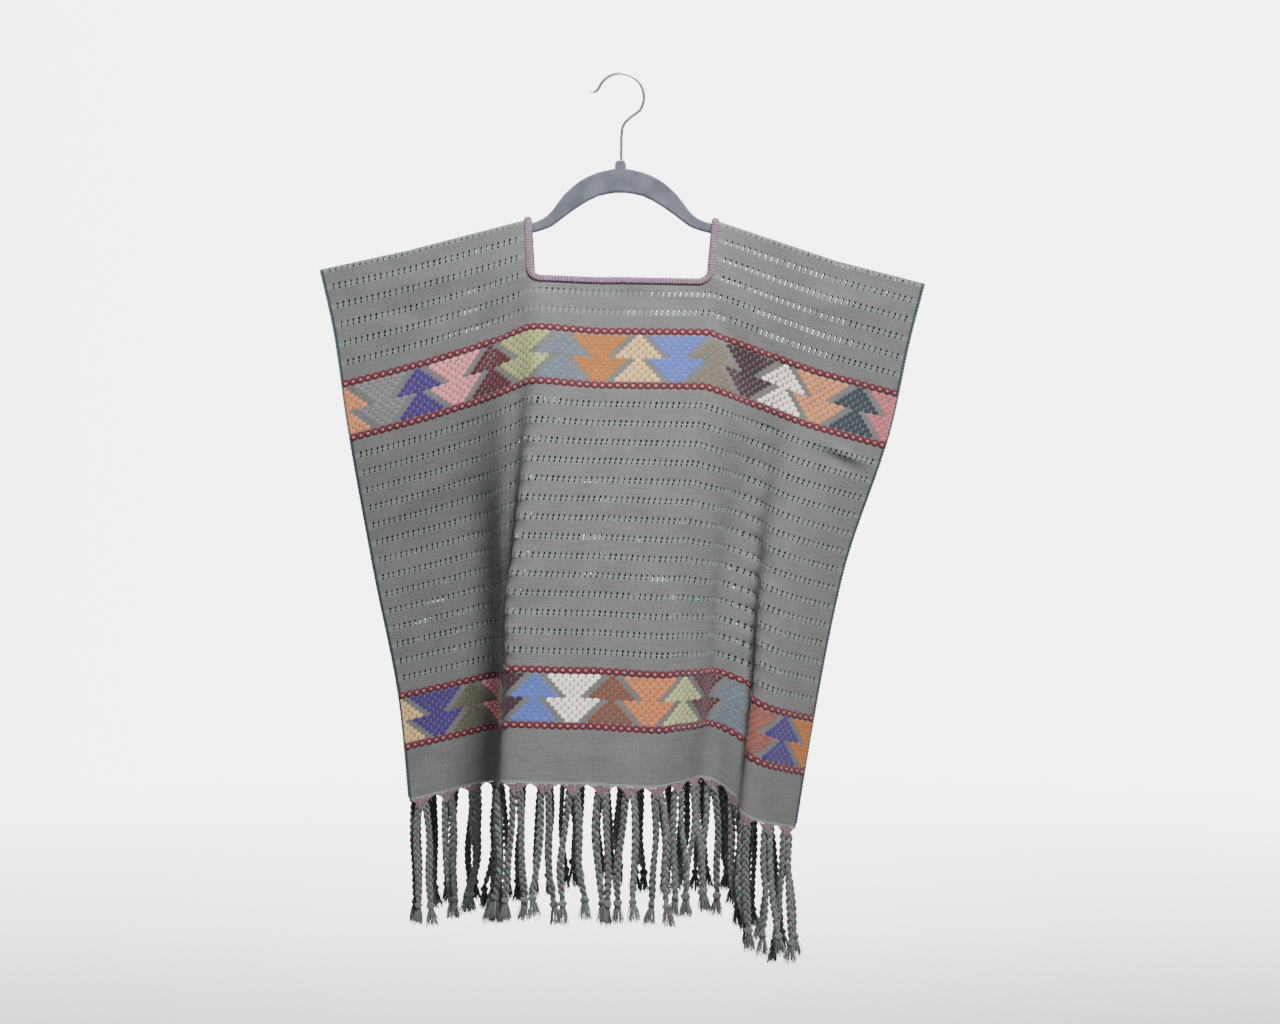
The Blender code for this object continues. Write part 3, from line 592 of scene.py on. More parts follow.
def weave_panel(name, web, openness, shift, seed):
    """A closed thin wall over one half of the web, with every slit cut through."""
    chance = np.random.RandomState(seed)
    columns = web_columns()
    lines = web_lines(shift)
    middles = (columns[:-1] + columns[1:]) / 2.0
    gaps = range(len(middles))
    flat = []
    teal = []
    index = {}

    def mark(row, k, part, place):
        """Keep a point: part 0 is on a column, and 1 and 2 are a slit's two sides."""
        index[row, k, part] = len(flat)
        flat.append(place)
        teal.append(lines[row][2])

    for row, (v, _, _) in enumerate(lines):
        for k, u in enumerate(columns):
            if not in_neck(u, v, -SAME_PLACE):
                mark(row, k, 0, neck_snap(u, v) if in_neck(u, v, SAME_PLACE) else (u, v))
    slits = set()
    for row in [row for row, line in enumerate(lines) if line[1] == 1]:
        for k in gaps:
            open_wide = openness * (SLIT_OPEN[0] + SLIT_OPEN[1] * chance.rand())
            swing = either_way(chance, SLIT_SWING)
            if in_neck(middles[k], lines[row][0], SLIT_OFF_NECK) or k in (gaps[0], gaps[-1]):
                continue
            slits.add((row, k))
            for step, (left, right) in enumerate(SLIT_LEAN):
                mid = (left + right) / 2.0 + swing
                half = (right - left) / 2.0 * open_wide
                for part, share in ((1, mid - half), (2, mid + half)):
                    u = columns[k] + (columns[k + 1] - columns[k]) * share
                    mark(row + step, k, part, (u, lines[row + step][0]))
    skin = []
    for row in range(len(lines) - 1):
        kind = lines[row][1]
        for k in gaps:
            corners = [(row, k, 0), (row + 1, k, 0), (row + 1, k + 1, 0), (row, k + 1, 0)]
            in_hole = in_neck(middles[k], lines[row + 1][0], SAME_PLACE)
            if in_hole or not all(c in index for c in corners):
                continue
            if kind in (1, 2, 3) and (row - kind + 1, k) in slits:
                top, low = ([(at, k, 0), (at, k, 1), (at, k, 2), (at, k + 1, 0)] for at in (row, row + 1))
                for part in (0, 1, 2) if kind == 2 else (0, 2):
                    skin.append([index[c] for c in (top[part], low[part], low[part + 1], top[part + 1])])
                continue
            low = [(row + 1, k, part) for part in (1, 2) if (row + 1, k, part) in index]
            top = [(row, k, part) for part in (2, 1) if (row, k, part) in index]
            ring = [corners[0], corners[1], *low, corners[2], corners[3], *top]
            skin.append([index[c] for c in ring])
    flat = np.array(flat)
    many = len(flat)
    walls = [web.raised(flat[:, 0], flat[:, 1], np.full(many, side * WALL / 2.0)) for side in (1.0, -1.0)]
    faces = closed_wall(web.turned(skin), many)
    piece = finished_piece(name, np.vstack(walls), faces, smooth_angle=60.0)
    web_map(piece, np.tile(flat[:, 0], 2), np.tile(flat[:, 1], 2))
    # The share of teal with painted highlight at each point
    point_values(piece, "openwork", teal * 2)
    return piece


front_web = Web(-1, FRONT_CREASES)
back_web = Web(1, BACK_CREASES)
front_cloth = weave_panel("front_cloth", front_web, openness=1.0, shift=0.0, seed=11)
back_cloth = weave_panel("back_cloth", back_web, openness=0.40, shift=-0.0060, seed=12)

# Grey handwoven cotton: matt, a little hairy, with slubs that run along warp and
# weft. The yarns are 0.6 mm apart and drawn 1.2 mm apart, so that they show.
CLOTH_GREY = "646563"
CLOTH_TEAL = "5d6362"
CLOTH_MAUVE = "676363"
CLOTH_DEEP = "525350"
# Lightened teal round the slits and at the hem: the crossed warps' teal with painted highlight
OPENWORK_TEAL_HIGHLIGHT = "8a9c98"
OPENWORK_SHARE = 0.30
SELVEDGE_TEAL = "28393e"
SELVEDGE_MM = (3.2, 1.6)
YARN_MM = 1.2
WEB_WIDE_MM = HALF_WIDTH * 2000.0
WEB_LONG_MM = LENGTH * 1000.0
# Unevenness of the yarns: millimetres across and down the web, and detail
UNEVEN_MM = {
    "warp slubs": (1.6, 42.0, 2.0),
    "weft slubs": (30.0, 1.4, 2.0),
    "clouds": (34.0, 34.0, 3.0),
    "flecks": (2.2, 2.2, 1.0),
}

grey_cotton, tree, shader = new_material("handwoven_grey_cotton", {
    "Roughness": 0.92, "Specular IOR Level": 0.25, "Sheen Weight": 0.04, "Sheen Roughness": 0.55})
flat_web = add(tree, "ShaderNodeUVMap", {"uv_map": "web"})
in_mm = stretched(tree, flat_web.outputs["UV"], (WEB_WIDE_MM, WEB_LONG_MM, 1.0))
uneven = {}
for name, (across, down, detail) in UNEVEN_MM.items():
    drawn_out = stretched(tree, in_mm, (1.0 / across, 1.0 / down, 1.0))
    uneven[name] = noise(tree, drawn_out, detail, dimensions="2D")
warp_tint = ramp(tree, uneven["warp slubs"], ((0.34, CLOTH_TEAL), (0.50, CLOTH_GREY), (0.66, CLOTH_MAUVE)))
dyed = mixed(tree, remap(tree, uneven["weft slubs"], 0.48, 0.80, 0.0, 0.55), warp_tint, CLOTH_DEEP)
for name, low, high in (("clouds", 0.93, 1.06), ("flecks", 0.92, 1.08)):
    dyed = lightened(tree, dyed, remap(tree, uneven[name], 0.3, 0.7, low, high))
openwork = add(tree, "ShaderNodeAttribute", {"attribute_name": "openwork"})
# Mix in the teal with its painted highlight where the openwork attribute asks for it
dyed = mixed(tree, calc(tree, "MULTIPLY", openwork.outputs["Fac"], OPENWORK_SHARE), dyed, OPENWORK_TEAL_HIGHLIGHT)
split = add(tree, "ShaderNodeSeparateXYZ", None, {0: in_mm})
off_middle = calc(tree, "ABSOLUTE", calc(tree, "SUBTRACT", split.outputs["X"], WEB_WIDE_MM / 2.0))
at_selvedge = remap(tree, off_middle, *(WEB_WIDE_MM / 2.0 - inset for inset in SELVEDGE_MM))
dyed = mixed(tree, at_selvedge, dyed, SELVEDGE_TEAL)
weave = add(tree, "ShaderNodeTexVoronoi", {"voronoi_dimensions": "2D", "distance": "CHEBYCHEV"},
            {"Vector": stretched(tree, in_mm, (1.0 / YARN_MM, 1.0 / YARN_MM, 1.0)),
             "Scale": 1.0, "Randomness": 0.25})
relief = calc(tree, "MULTIPLY_ADD", uneven["warp slubs"], 0.8, weave.outputs["Distance"])
coat(tree, shader, dyed, calc(tree, "ADD", relief, uneven["weft slubs"]), strength=0.55, depth=0.00035)
for cloth, node in ((front_cloth, "front_panel"), (back_cloth, "back_panel")):
    cloth.data.materials.append(grey_cotton)
    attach(cloth, "root")
    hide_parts(node)
# Two brocaded bands on each half: floats of thick coloured cotton laid in with the
# weft, in two rows of triangles between chains of burgundy links. Each float is a
# small pillow of yarn over the ground. The ground shows as dots at their narrowed
# ends, and the ends are painted darker towards a dark gap colour as painted shade.
LINK = 0.00824
TRIANGLES = 16
TRIANGLE_PITCH = 5.0 * LINK
WIDEST_ROW = 7
ROWS = 6
BAND_ROOM = 0.0042
FLOAT_STOPS = (-1.0, -0.74, 0.0, 0.74, 1.0)
FLOAT_NARROWS = 0.74
FLOAT_FLATTENS = 0.85
FLOAT_RISE = 0.0007
FLOAT_SINK = 0.0001
FLOAT_SLANT = 0.00045
FLOAT_FILL = (0.94, 1.40)
FLOAT_LEAST = 0.0025
FLOAT_END_SHARE = 0.35
EDGE_ROOM = 0.0006
LINK_SIDES = 12
LINK_RINGS = ((0.0013, 0.0011, 0.0003), (0.0033, 0.0027, 0.0008), (0.0051, 0.0040, -0.0001))
HEART_SIDES = 8
HEART_RING = (0.0021, 0.0018, 0.0003)
HEART_RISE = 0.0009
BURGUNDY = "500016"
LINK_HEART = "93686a"
# Dark colour at each float's end: the ground's grey, darkened further as painted shade
GAP_GROUND_AND_SHADE = "2b2a28"
YARNS = {
    "peach": "c57a4a", "silver": "6c6b6d", "indigo": "321a66", "rose": "d67c82",
    "burgundy": "460010", "leaf": "95995f", "slate": "56626f", "gold": "a35c06",
    "cream": "c8a468", "periwinkle": "445cb0", "taupe": "605a4a", "plum": "301320",
    "ivory": "f2e6d8", "tan": "c0784a", "deep_slate": "222c36", "dusty_rose": "b25c62",
    "umber": "663c28", "salmon": "bd6c3a", "pale_leaf": "a3aa6e", "brick": "80483c",
    "khaki": "524d3c",
}
UPPER_BAND = (
    "peach", "silver", "indigo", "rose", "burgundy", "leaf", "slate", "gold",
    "cream", "periwinkle", "taupe", "plum", "ivory", "tan", "deep_slate", "dusty_rose",
)
LOWER_BAND = (
    "cream", "indigo", "khaki", "rose", "leaf", "plum", "periwinkle", "ivory",
    "umber", "salmon", "pale_leaf", "burgundy", "slate", "brick", "indigo", "gold",
)
BACK_SHIFT = 5


def dye(colour):
    """An sRGB hex colour as linear RGB that can be lightened or mixed."""
    return np.array(linear(colour)[:3])


def turns(sides):
    """The turns round a ring of points, in radians."""
    return np.arange(sides) * 2.0 * pi / sides


class Heap:
    """Many small closed pieces of yarn in one mesh, with a value for each point."""

    def __init__(self):
        self.points = []
        self.faces = []
        self.values = []

    def lay(self, points, faces, values):
        """Add one piece whose faces number its own points from 0."""
        base = len(self.points)
        self.points.extend(points)
        self.faces.extend([base + corner for corner in face] for face in faces)
        self.values.extend(values)


def yarn_colours(piece, colours):
    """A colour for each point of a piece, which its material reads."""
    layer = piece.data.color_attributes.new("yarn", "FLOAT_COLOR", "POINT")
    layer.data.foreach_set("color", np.hstack([np.array(colours), np.ones((len(colours), 1))]).ravel())


def lay_float(heap, u, v, half_u, half_v, tone, shaded_end_tone):
    """One float: a pillow with narrowed ends, closed underneath."""
    points = []
    for s in FLOAT_STOPS:
        for t in (-1.0, 0.0, 1.0):
            narrow = 1.0 - FLOAT_NARROWS * s ** 8
            crown = (1.0 - FLOAT_FLATTENS * s ** 4) * (1.0 - t * t)
            at_u = min(max(u + s * half_u, -HALF_WIDTH), HALF_WIDTH)
            at_v = v + t * half_v * narrow - FLOAT_SLANT * s
            points.append((at_u, at_v, WALL / 2.0 - FLOAT_SINK + FLOAT_RISE * crown))
    faces = []
    for a in (0, 3, 6, 9):
        faces += [[a, a + 1, a + 4, a + 3], [a + 1, a + 2, a + 5, a + 4]]
    faces.append([0, 3, 6, 9, 12, 13, 14, 11, 8, 5, 2, 1])
    # The end points take the dark end tone: painted shade where the floats meet
    heap.lay(points, faces, [shaded_end_tone] * 3 + [tone] * 9 + [shaded_end_tone] * 3)


def lay_link(heap, u, v, tone):
    """One burgundy link: a raised ring, a little wider than its pitch."""
    points = []
    for turn in turns(LINK_SIDES):
        for half_u, half_v, rise in LINK_RINGS:
            points.append((u + half_u * cos(turn), v + half_v * sin(turn), WALL / 2.0 + rise))
    faces = []
    for k in range(LINK_SIDES):
        a = 3 * k
        b = 3 * ((k + 1) % LINK_SIDES)
        faces += [[b, b + 1, a + 1, a], [b + 1, b + 2, a + 2, a + 1], [b + 2, b, a, a + 2]]
    heap.lay(points, faces, [tone] * len(points))


def lay_heart(heap, u, v, tone):
    """The lighter yarn that shows in the middle of a link."""
    half_u, half_v, rise = HEART_RING
    points = [(u, v, WALL / 2.0 + HEART_RISE)]
    for turn in turns(HEART_SIDES):
        points.append((u + half_u * cos(turn), v + half_v * sin(turn), WALL / 2.0 + rise))
    faces = [[0, 1 + (k + 1) % HEART_SIDES, 1 + k] for k in range(HEART_SIDES)]
    heap.lay(points, [*faces, list(range(1, HEART_SIDES + 1))], [tone] * len(points))


def triangle_floats(number, row):
    """Middles of the floats in one row of one triangle, as u."""
    centre = -HALF_WIDTH + TRIANGLE_PITCH * number
    many = WIDEST_ROW - row if number % 2 else 1 + row
    return [centre + (k - (many - 1) / 2.0) * LINK for k in range(many)]


def weave_bands(name, web, shift, seed):
    """All floats and links of one half of the web as one piece."""
    chance = np.random.RandomState(seed)
    heap = Heap()
    row_high = (BAND_BOTTOMS[0] - BAND_TOPS[0] - 2.0 * BAND_ROOM) / (2 * ROWS)
    for top, bottom, order in zip(BAND_TOPS, BAND_BOTTOMS, (UPPER_BAND, LOWER_BAND)):
        for number in range(TRIANGLES):
            yarn = dye(YARNS[order[(number + shift) % TRIANGLES]])
            # Float ends: the yarn mixed with the dark gap colour, the ground's grey with painted shade
            shaded_end_tone = yarn * FLOAT_END_SHARE + dye(GAP_GROUND_AND_SHADE) * (1.0 - FLOAT_END_SHARE)
            for row in range(2 * ROWS):
                v = top + BAND_ROOM + row_high * (row + 0.5)
                for u in triangle_floats(number, row % ROWS):
                    low_u = max(u - LINK / 2.0, -HALF_WIDTH + EDGE_ROOM)
                    high_u = min(u + LINK / 2.0, HALF_WIDTH - EDGE_ROOM)
                    if high_u - low_u < FLOAT_LEAST:
                        continue
                    tone = yarn * (1.0 + either_way(chance, 0.16))
                    lay_float(heap, (low_u + high_u) / 2.0, v, (high_u - low_u) / 2.0 * FLOAT_FILL[0],
                              row_high / 2.0 * FLOAT_FILL[1], tone, shaded_end_tone)
        for v in (top, bottom):
            for k in range(round(2.0 * HALF_WIDTH / LINK)):
                u = -HALF_WIDTH + LINK * (k + 0.5)
                lay_link(heap, u, v, dye(BURGUNDY) * (1.0 + either_way(chance, 0.2)))
                lay_heart(heap, u, v, dye(LINK_HEART) * (1.0 + either_way(chance, 0.3)))
    u, v, rise = np.array(heap.points).T
    piece = finished_piece(name, web.raised(u, v, rise), web.turned(heap.faces), smooth_angle=70.0)
    web_map(piece, u, v)
    yarn_colours(piece, heap.values)
    return piece


front_brocade = weave_bands("front_brocade", front_web, shift=0, seed=21)
back_brocade = weave_bands("back_brocade", back_web, shift=BACK_SHIFT, seed=22)

# Soft-spun brocade cotton: matt and fuller than the ground, its strands lying
# along the weft, so it catches a little more light on the crown of each float.
STRAND_MM = (6.0, 0.9)
brocade_cotton, tree, shader = new_material("soft_spun_brocade_cotton", {
    "Roughness": 0.85, "IOR": 1.50, "Sheen Weight": 0.22, "Sheen Roughness": 0.5})
yarn_colour = add(tree, "ShaderNodeAttribute", {"attribute_name": "yarn"})
band_map = add(tree, "ShaderNodeUVMap", {"uv_map": "web"})
strands = stretched(tree, band_map.outputs["UV"],
                    (WEB_WIDE_MM / STRAND_MM[0], WEB_LONG_MM / STRAND_MM[1], 1.0))
plies = noise(tree, strands, 2.0, dimensions="2D")
shaded = lightened(tree, yarn_colour.outputs["Color"], remap(tree, plies, 0.3, 0.7, 0.80, 1.14))
coat(tree, shader, shaded, plies, strength=0.5, depth=0.0004)

for brocade in (front_brocade, back_brocade):
    brocade.data.materials.append(brocade_cotton)
    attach(brocade, "root")

# Neck binding: a folded strip of mauve cotton, sewn down all round the square neck
# hole in three ribbed rows. It stands proud of the cloth and runs over the arms of
# the hanger at both shoulders.
BINDING_WIDE = 0.0074
BINDING_THICK = 0.0046
BINDING_RISE = 0.0020
BINDING_SEAT = 0.0038
BINDING_SIDES = 24
BINDING_RIBS = 3
RIB_DEPTH = 0.13
RIB_FOOT = 0.94
EDGE_BY_FOLD = (0.0012, 0.0028, 0.0050, 0.0080)
EDGE_OFF_FOLD = 0.012
BINDING_FIBRE = 0.0016
STITCH_PITCH = 0.0030
BINDING_MAUVE = "72596a"
BINDING_DUSK = "4f3d49"
BINDING_PALE = "8e7582"


def neck_edge():
    """Round one half of the neck hole: places on its edge and the way inwards."""
    low_v = NECK_DEPTH - NECK_CORNER
    straight = (*EDGE_BY_FOLD, *np.linspace(EDGE_OFF_FOLD, low_v, 14))
    halves = []
    for edge, inwards in ((NECK_LEFT, 1.0), (NECK_RIGHT, -1.0)):
        half = [(edge, v, inwards, 0.0) for v in straight]
        for turn in np.linspace(0.0, pi / 2.0, 8)[1:]:
            u = edge + inwards * NECK_CORNER * (1.0 - cos(turn))
            half.append((u, low_v + NECK_CORNER * sin(turn), inwards * cos(turn), -sin(turn)))
        halves.append(half)
    bottom = np.linspace(NECK_LEFT + NECK_CORNER, NECK_RIGHT - NECK_CORNER, 44)[1:-1]
    return [*halves[0], *((u, NECK_DEPTH, 0.0, -1.0) for u in bottom), *halves[1][::-1]]


def tube_points(line, beside, deep, radii):
    """Rings of points along a line: radii has a row for each ring, or one for all."""
    turn = turns(radii.shape[1])[:, None]
    ring = beside[:, None] * np.cos(turn) + deep[:, None] * np.sin(turn)
    return (line[:, None] + ring * radii[..., None]).reshape(-1, 3)


def tube_faces(rings, sides, looped):
    """Quads between rings of points, capped where the run isn't a loop."""
    faces = []
    for k in range(rings if looped else rings - 1):
        for s in range(sides):
            t = (s + 1) % sides
            after = ((k + 1) % rings) * sides
            faces.append([k * sides + s, k * sides + t, after + t, after + s])
    if not looped:
        faces.append(list(range(sides))[::-1])
        faces.append([(rings - 1) * sides + s for s in range(sides)])
    return faces


def gone_along(line):
    """How far along a line each of its points lies."""
    return np.concatenate([[0.0], np.cumsum(np.linalg.norm(np.diff(line, axis=0), axis=1))])


centres = []
facings = []
for web, edge in ((front_web, neck_edge()), (back_web, neck_edge()[::-1])):
    for u, v, in_u, in_v in edge:
        u_in = u + in_u * BINDING_SEAT
        v_in = v + in_v * BINDING_SEAT
        centre = web.raised(u_in, v_in, 0.0)
        facings.append(web.raised(u_in, v_in, 1.0) - centre)
        lift = BINDING_RISE * max(0.0, 1.0 - v_in / NECK_CORNER)
        centres.append(centre + (0.0, 0.0, lift))
    u_over = edge[-1][0] + edge[-1][2] * BINDING_SEAT
    over_arm = (front_web.raised(u_over, 0.0, 0.0) + back_web.raised(u_over, 0.0, 0.0)) / 2.0
    centres.append(over_arm + (0.0, 0.0, BINDING_RISE))
    facings.append(np.array((0.0, 0.0, 1.0)))
centres = np.array(centres)
facings = np.array(facings)
ahead = unit(np.roll(centres, -1, axis=0) - np.roll(centres, 1, axis=0))
out = unit(facings - ahead * (facings * ahead).sum(axis=1)[:, None])
ribs = RIB_FOOT + RIB_DEPTH * abs(np.sin(BINDING_RIBS * turns(BINDING_SIDES) + pi / 2.0))
rings = tube_points(centres, np.cross(out, ahead) * BINDING_WIDE / 2.0, out * BINDING_THICK / 2.0,
                    ribs[None, :])
ring_faces = tube_faces(len(centres), BINDING_SIDES, looped=True)
binding = finished_piece("neck_edging", rings, ring_faces, smooth_angle=80.0)
point_values(binding, "run", np.repeat(gone_along(centres), BINDING_SIDES))

# Mauve cotton braid, stitched through: small slanted stitches cross the ribs
mauve_cotton, tree, shader = new_material("stitched_mauve_cotton", {
    "Roughness": 0.88, "IOR": 1.50, "Sheen Weight": 0.20, "Sheen Roughness": 0.5})
along = add(tree, "ShaderNodeAttribute", {"attribute_name": "run"})
stitch = calc(tree, "SINE", calc(tree, "MULTIPLY", along.outputs["Fac"], 2.0 * pi / STITCH_PITCH))
mottle = calc(tree, "MULTIPLY_ADD", stitch, 0.16, grain(tree, BINDING_FIBRE, 2.0))
mauve = ramp(tree, mottle, ((0.28, BINDING_DUSK), (0.52, BINDING_MAUVE), (0.76, BINDING_PALE)))
coat(tree, shader, mauve, mottle, strength=0.6, depth=0.0006)
binding.data.materials.append(mauve_cotton)
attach(binding, "root")
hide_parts("neck_binding")

# Side seams and armhole edges: the selvedges are whipped with dark teal thread. It
# joins front and back edge to edge from under the upper band down to the hem, and
# above that it runs round each armhole opening on its own.
WHIP_RADIUS = 0.0010
WHIP_ARMHOLE = 0.85
WHIP_SEAM = 1.25
WHIP_SIDES = 7
WHIP_PITCH = 0.0034
WHIP_STEP = 0.0009
WHIP_OUT = 0.0004
WHIP_SWELL = (0.92, 0.16)
WHIP_WAVE = 0.28
WHIP_FIBRE = 0.0022
WHIP_TEAL = "3c5459"
WHIP_PALE = "6f8a8c"
ARMHOLE_TOP = 0.0035
SEAM_STOP = LENGTH - 0.002


def round_yarn(line, facing, radii):
    """Rings of points round a line whose first side lies square to the facing."""
    ahead = unit(np.gradient(line, axis=0))
    beside = unit(np.cross(ahead, facing))
    return tube_points(line, beside, np.cross(ahead, beside), radii)


def whipped_edge(heap, line, radius, seed):
    """A round edge whose stitches swell and sink as they wind along it."""
    chance = np.random.RandomState(seed)
    gone = gone_along(line)
    swell = radius * (WHIP_SWELL[0] + WHIP_SWELL[1] * chance.rand(len(line)))
    wave = 1.0 + WHIP_WAVE * np.sin(2.0 * pi * gone[:, None] / WHIP_PITCH + turns(WHIP_SIDES))
    heap.lay(round_yarn(line, (0.0, 1.0, 0.0), swell[:, None] * wave),
             tube_faces(len(line), WHIP_SIDES, looped=False), np.repeat(gone, WHIP_SIDES))


heap = Heap()
for side in (-1.0, 1.0):
    edge = side * HALF_WIDTH
    out = (side * WHIP_OUT, 0.0, 0.0)
    open_run = np.arange(ARMHOLE_TOP, ARMHOLE_END, WHIP_STEP)
    for web in (front_web, back_web):
        whipped_edge(heap, web.raised(edge, open_run, 0.0) + out, WHIP_RADIUS * WHIP_ARMHOLE, seed=31)
    sewn_run = np.arange(ARMHOLE_END, SEAM_STOP, WHIP_STEP)
    both = (front_web.raised(edge, sewn_run, 0.0) + back_web.raised(edge, sewn_run, 0.0)) / 2.0
    whipped_edge(heap, both + out, WHIP_RADIUS * WHIP_SEAM, seed=32)
seams = finished_piece("whipped_selvedges", heap.points, heap.faces, smooth_angle=80.0)
point_values(seams, "run", heap.values)

# Dark teal sewing cotton with a slight lustre where it is pulled tight
whip_cotton, tree, shader = new_material("teal_sewing_cotton", {
    "Roughness": 0.72, "IOR": 1.50, "Sheen Weight": 0.12})
fibres = grain(tree, WHIP_FIBRE, 2.0)
teal = ramp(tree, fibres, ((0.35, WHIP_TEAL), (0.78, WHIP_PALE)))
coat(tree, shader, teal, fibres, strength=0.4, depth=0.0003)
seams.data.materials.append(whip_cotton)
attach(seams, "root")

# Fringe: the warp ends below each hem, caught in mauve swags every 31 mm and worked
# into pairs of three-strand plaits. Each plait ends in an overhand knot, with the
# loose ends frayed out below it.
FRINGE_PAIRS = 20
SWAG_DEEP = 0.0105
SWAG_DROPS = (0.0002, 0.0016, 0.0034, 0.0056, 0.0080, SWAG_DEEP)
SWAG_FOOT = 0.0056
SWAG_ROOM = 0.0003
SWAG_THICK = (0.0006, 0.0011)
SWAG_COLUMNS = 15
SWAG_RIB = 0.00028
SWAG_DIP = 0.0012
BRAID_REACH = 0.0040
BRAID_OVERLAP = 0.0011
BRAID_TOP = 0.0065
BRAID_PERIOD = 0.0215
BRAID_TURN = 0.9
BRAID_UNEVEN = 0.05
BRAID_SWAY = (0.018, 0.008)
BRAID_BOW = (0.0090, 0.004)
BRAID_WAVE = (0.0060, 0.003)
BRAID_PART = 0.0015
BRAID_SWING_WIDE = 0.00225
BRAID_SWING_DEEP = 0.00125
STRAND_RADIUS = 0.00200
STRAND_SIDES = 6
KNOT_DROP = 0.116
KNOT_RADIUS = 0.0043
KNOT_RINGS = 9
KNOT_SIDES = 12
KNOT_SEAT = (0.0006, -0.0003, -0.0022)
TUFT_HAIRS = 56
TUFT_LONG = 0.0185
TUFT_FLARE = 0.0054
TUFT_ROOT = 0.0024
TUFT_SINK = 0.0020
TUFT_LEAN = 0.0025
TUFT_CURL = 0.0018
HAIR_RADIUS = 0.00052
HAIR_SIDES = 3
FIBRE_SIZE = (0.0011, 0.0011, 0.0040)
PATCH_SIZE = 0.0060
SWAG_MAUVE = "75545b"
SWAG_DUSK = "543e46"
FRINGE_YARNS = ("4a5853", "575152", "515654", "616a67", "3f4543", "584a4e", "4a5a54")
SWAG_YARN = FRINGE_YARNS[2]
FRINGE_MIXES = ((0, 1, 2), (3, 2, 0), (1, 4, 6), (2, 3, 5), (6, 0, 1), (4, 2, 3), (5, 6, 2))


def lay_swag(heap, web, middle, half_pitch):
    """Warp threads drawn together from the hem into the root of a pair of plaits."""
    points = []
    colours = []
    for layer in (1.0, -1.0):
        for drop in SWAG_DROPS:
            share = drop / SWAG_DEEP
            half = SWAG_FOOT + (half_pitch - SWAG_FOOT) * (1.0 - share) ** 2.4
            for s in np.linspace(-1.0, 1.0, SWAG_COLUMNS):
                thick = SWAG_THICK[0] + SWAG_THICK[1] * share * (1.0 - 0.55 * s * s)
                thick += SWAG_RIB * cos(s * 7.0 * pi)
                at = web.raised(middle + s * half, LENGTH, layer * thick)
                at[2] -= drop + SWAG_DIP * share * cos(s * pi)
                points.append(at)
                tone = dye(SWAG_MAUVE if round(s * 7.0) % 3 else SWAG_DUSK)
                colours.append(tone * (1.0 - 0.45 * share) + dye(SWAG_YARN) * 0.45 * share)
    rows = len(SWAG_DROPS)
    across = SWAG_COLUMNS
    skin = []
    for i in range(rows - 1):
        for a in range(i * across, (i + 1) * across - 1):
            skin.append([a, a + across, a + across + 1, a + 1])
    heap.lay(points, closed_wall(web.turned(skin), rows * across), colours)


def lay_yarn(heap, line, radii, sides, colour):
    """A closed yarn along a line of points."""
    points = round_yarn(line, (0.02, 1.0, 0.04), np.tile(radii[:, None], sides))
    heap.lay(points, tube_faces(len(line), sides, looped=False), [colour] * len(points))


def tie_knot(heap, middle, tones, phase, chance):
    """A hard round knot with the turns of its yarn wound slantwise."""
    points = []
    colours = []
    size = KNOT_RADIUS * (0.90 + 0.2 * chance.rand())
    for k in range(KNOT_RINGS):
        level = -1.0 + 2.0 * (k + 0.5) / KNOT_RINGS
        for turn in turns(KNOT_SIDES):
            groove = 1.0 + 0.15 * sin(2.0 * turn + 3.4 * level + phase)
            radius = size * sqrt(1.0 - level * level * 0.92) * groove
            points.append(middle + (radius * cos(turn), radius * sin(turn) * 0.86, level * size))
            # Painted shade: each turn is coloured darker in the grooves and lighter on its crown
            colours.append(tones[int(groove > 1.0)] * (0.60 + 0.35 * groove))
    heap.lay(points, tube_faces(KNOT_RINGS, KNOT_SIDES, looped=False), colours)


def wander(chance, wide, deep):
    """A small random step to one side and to the front or the back."""
    return np.array([either_way(chance, wide), either_way(chance, deep), 0.0])


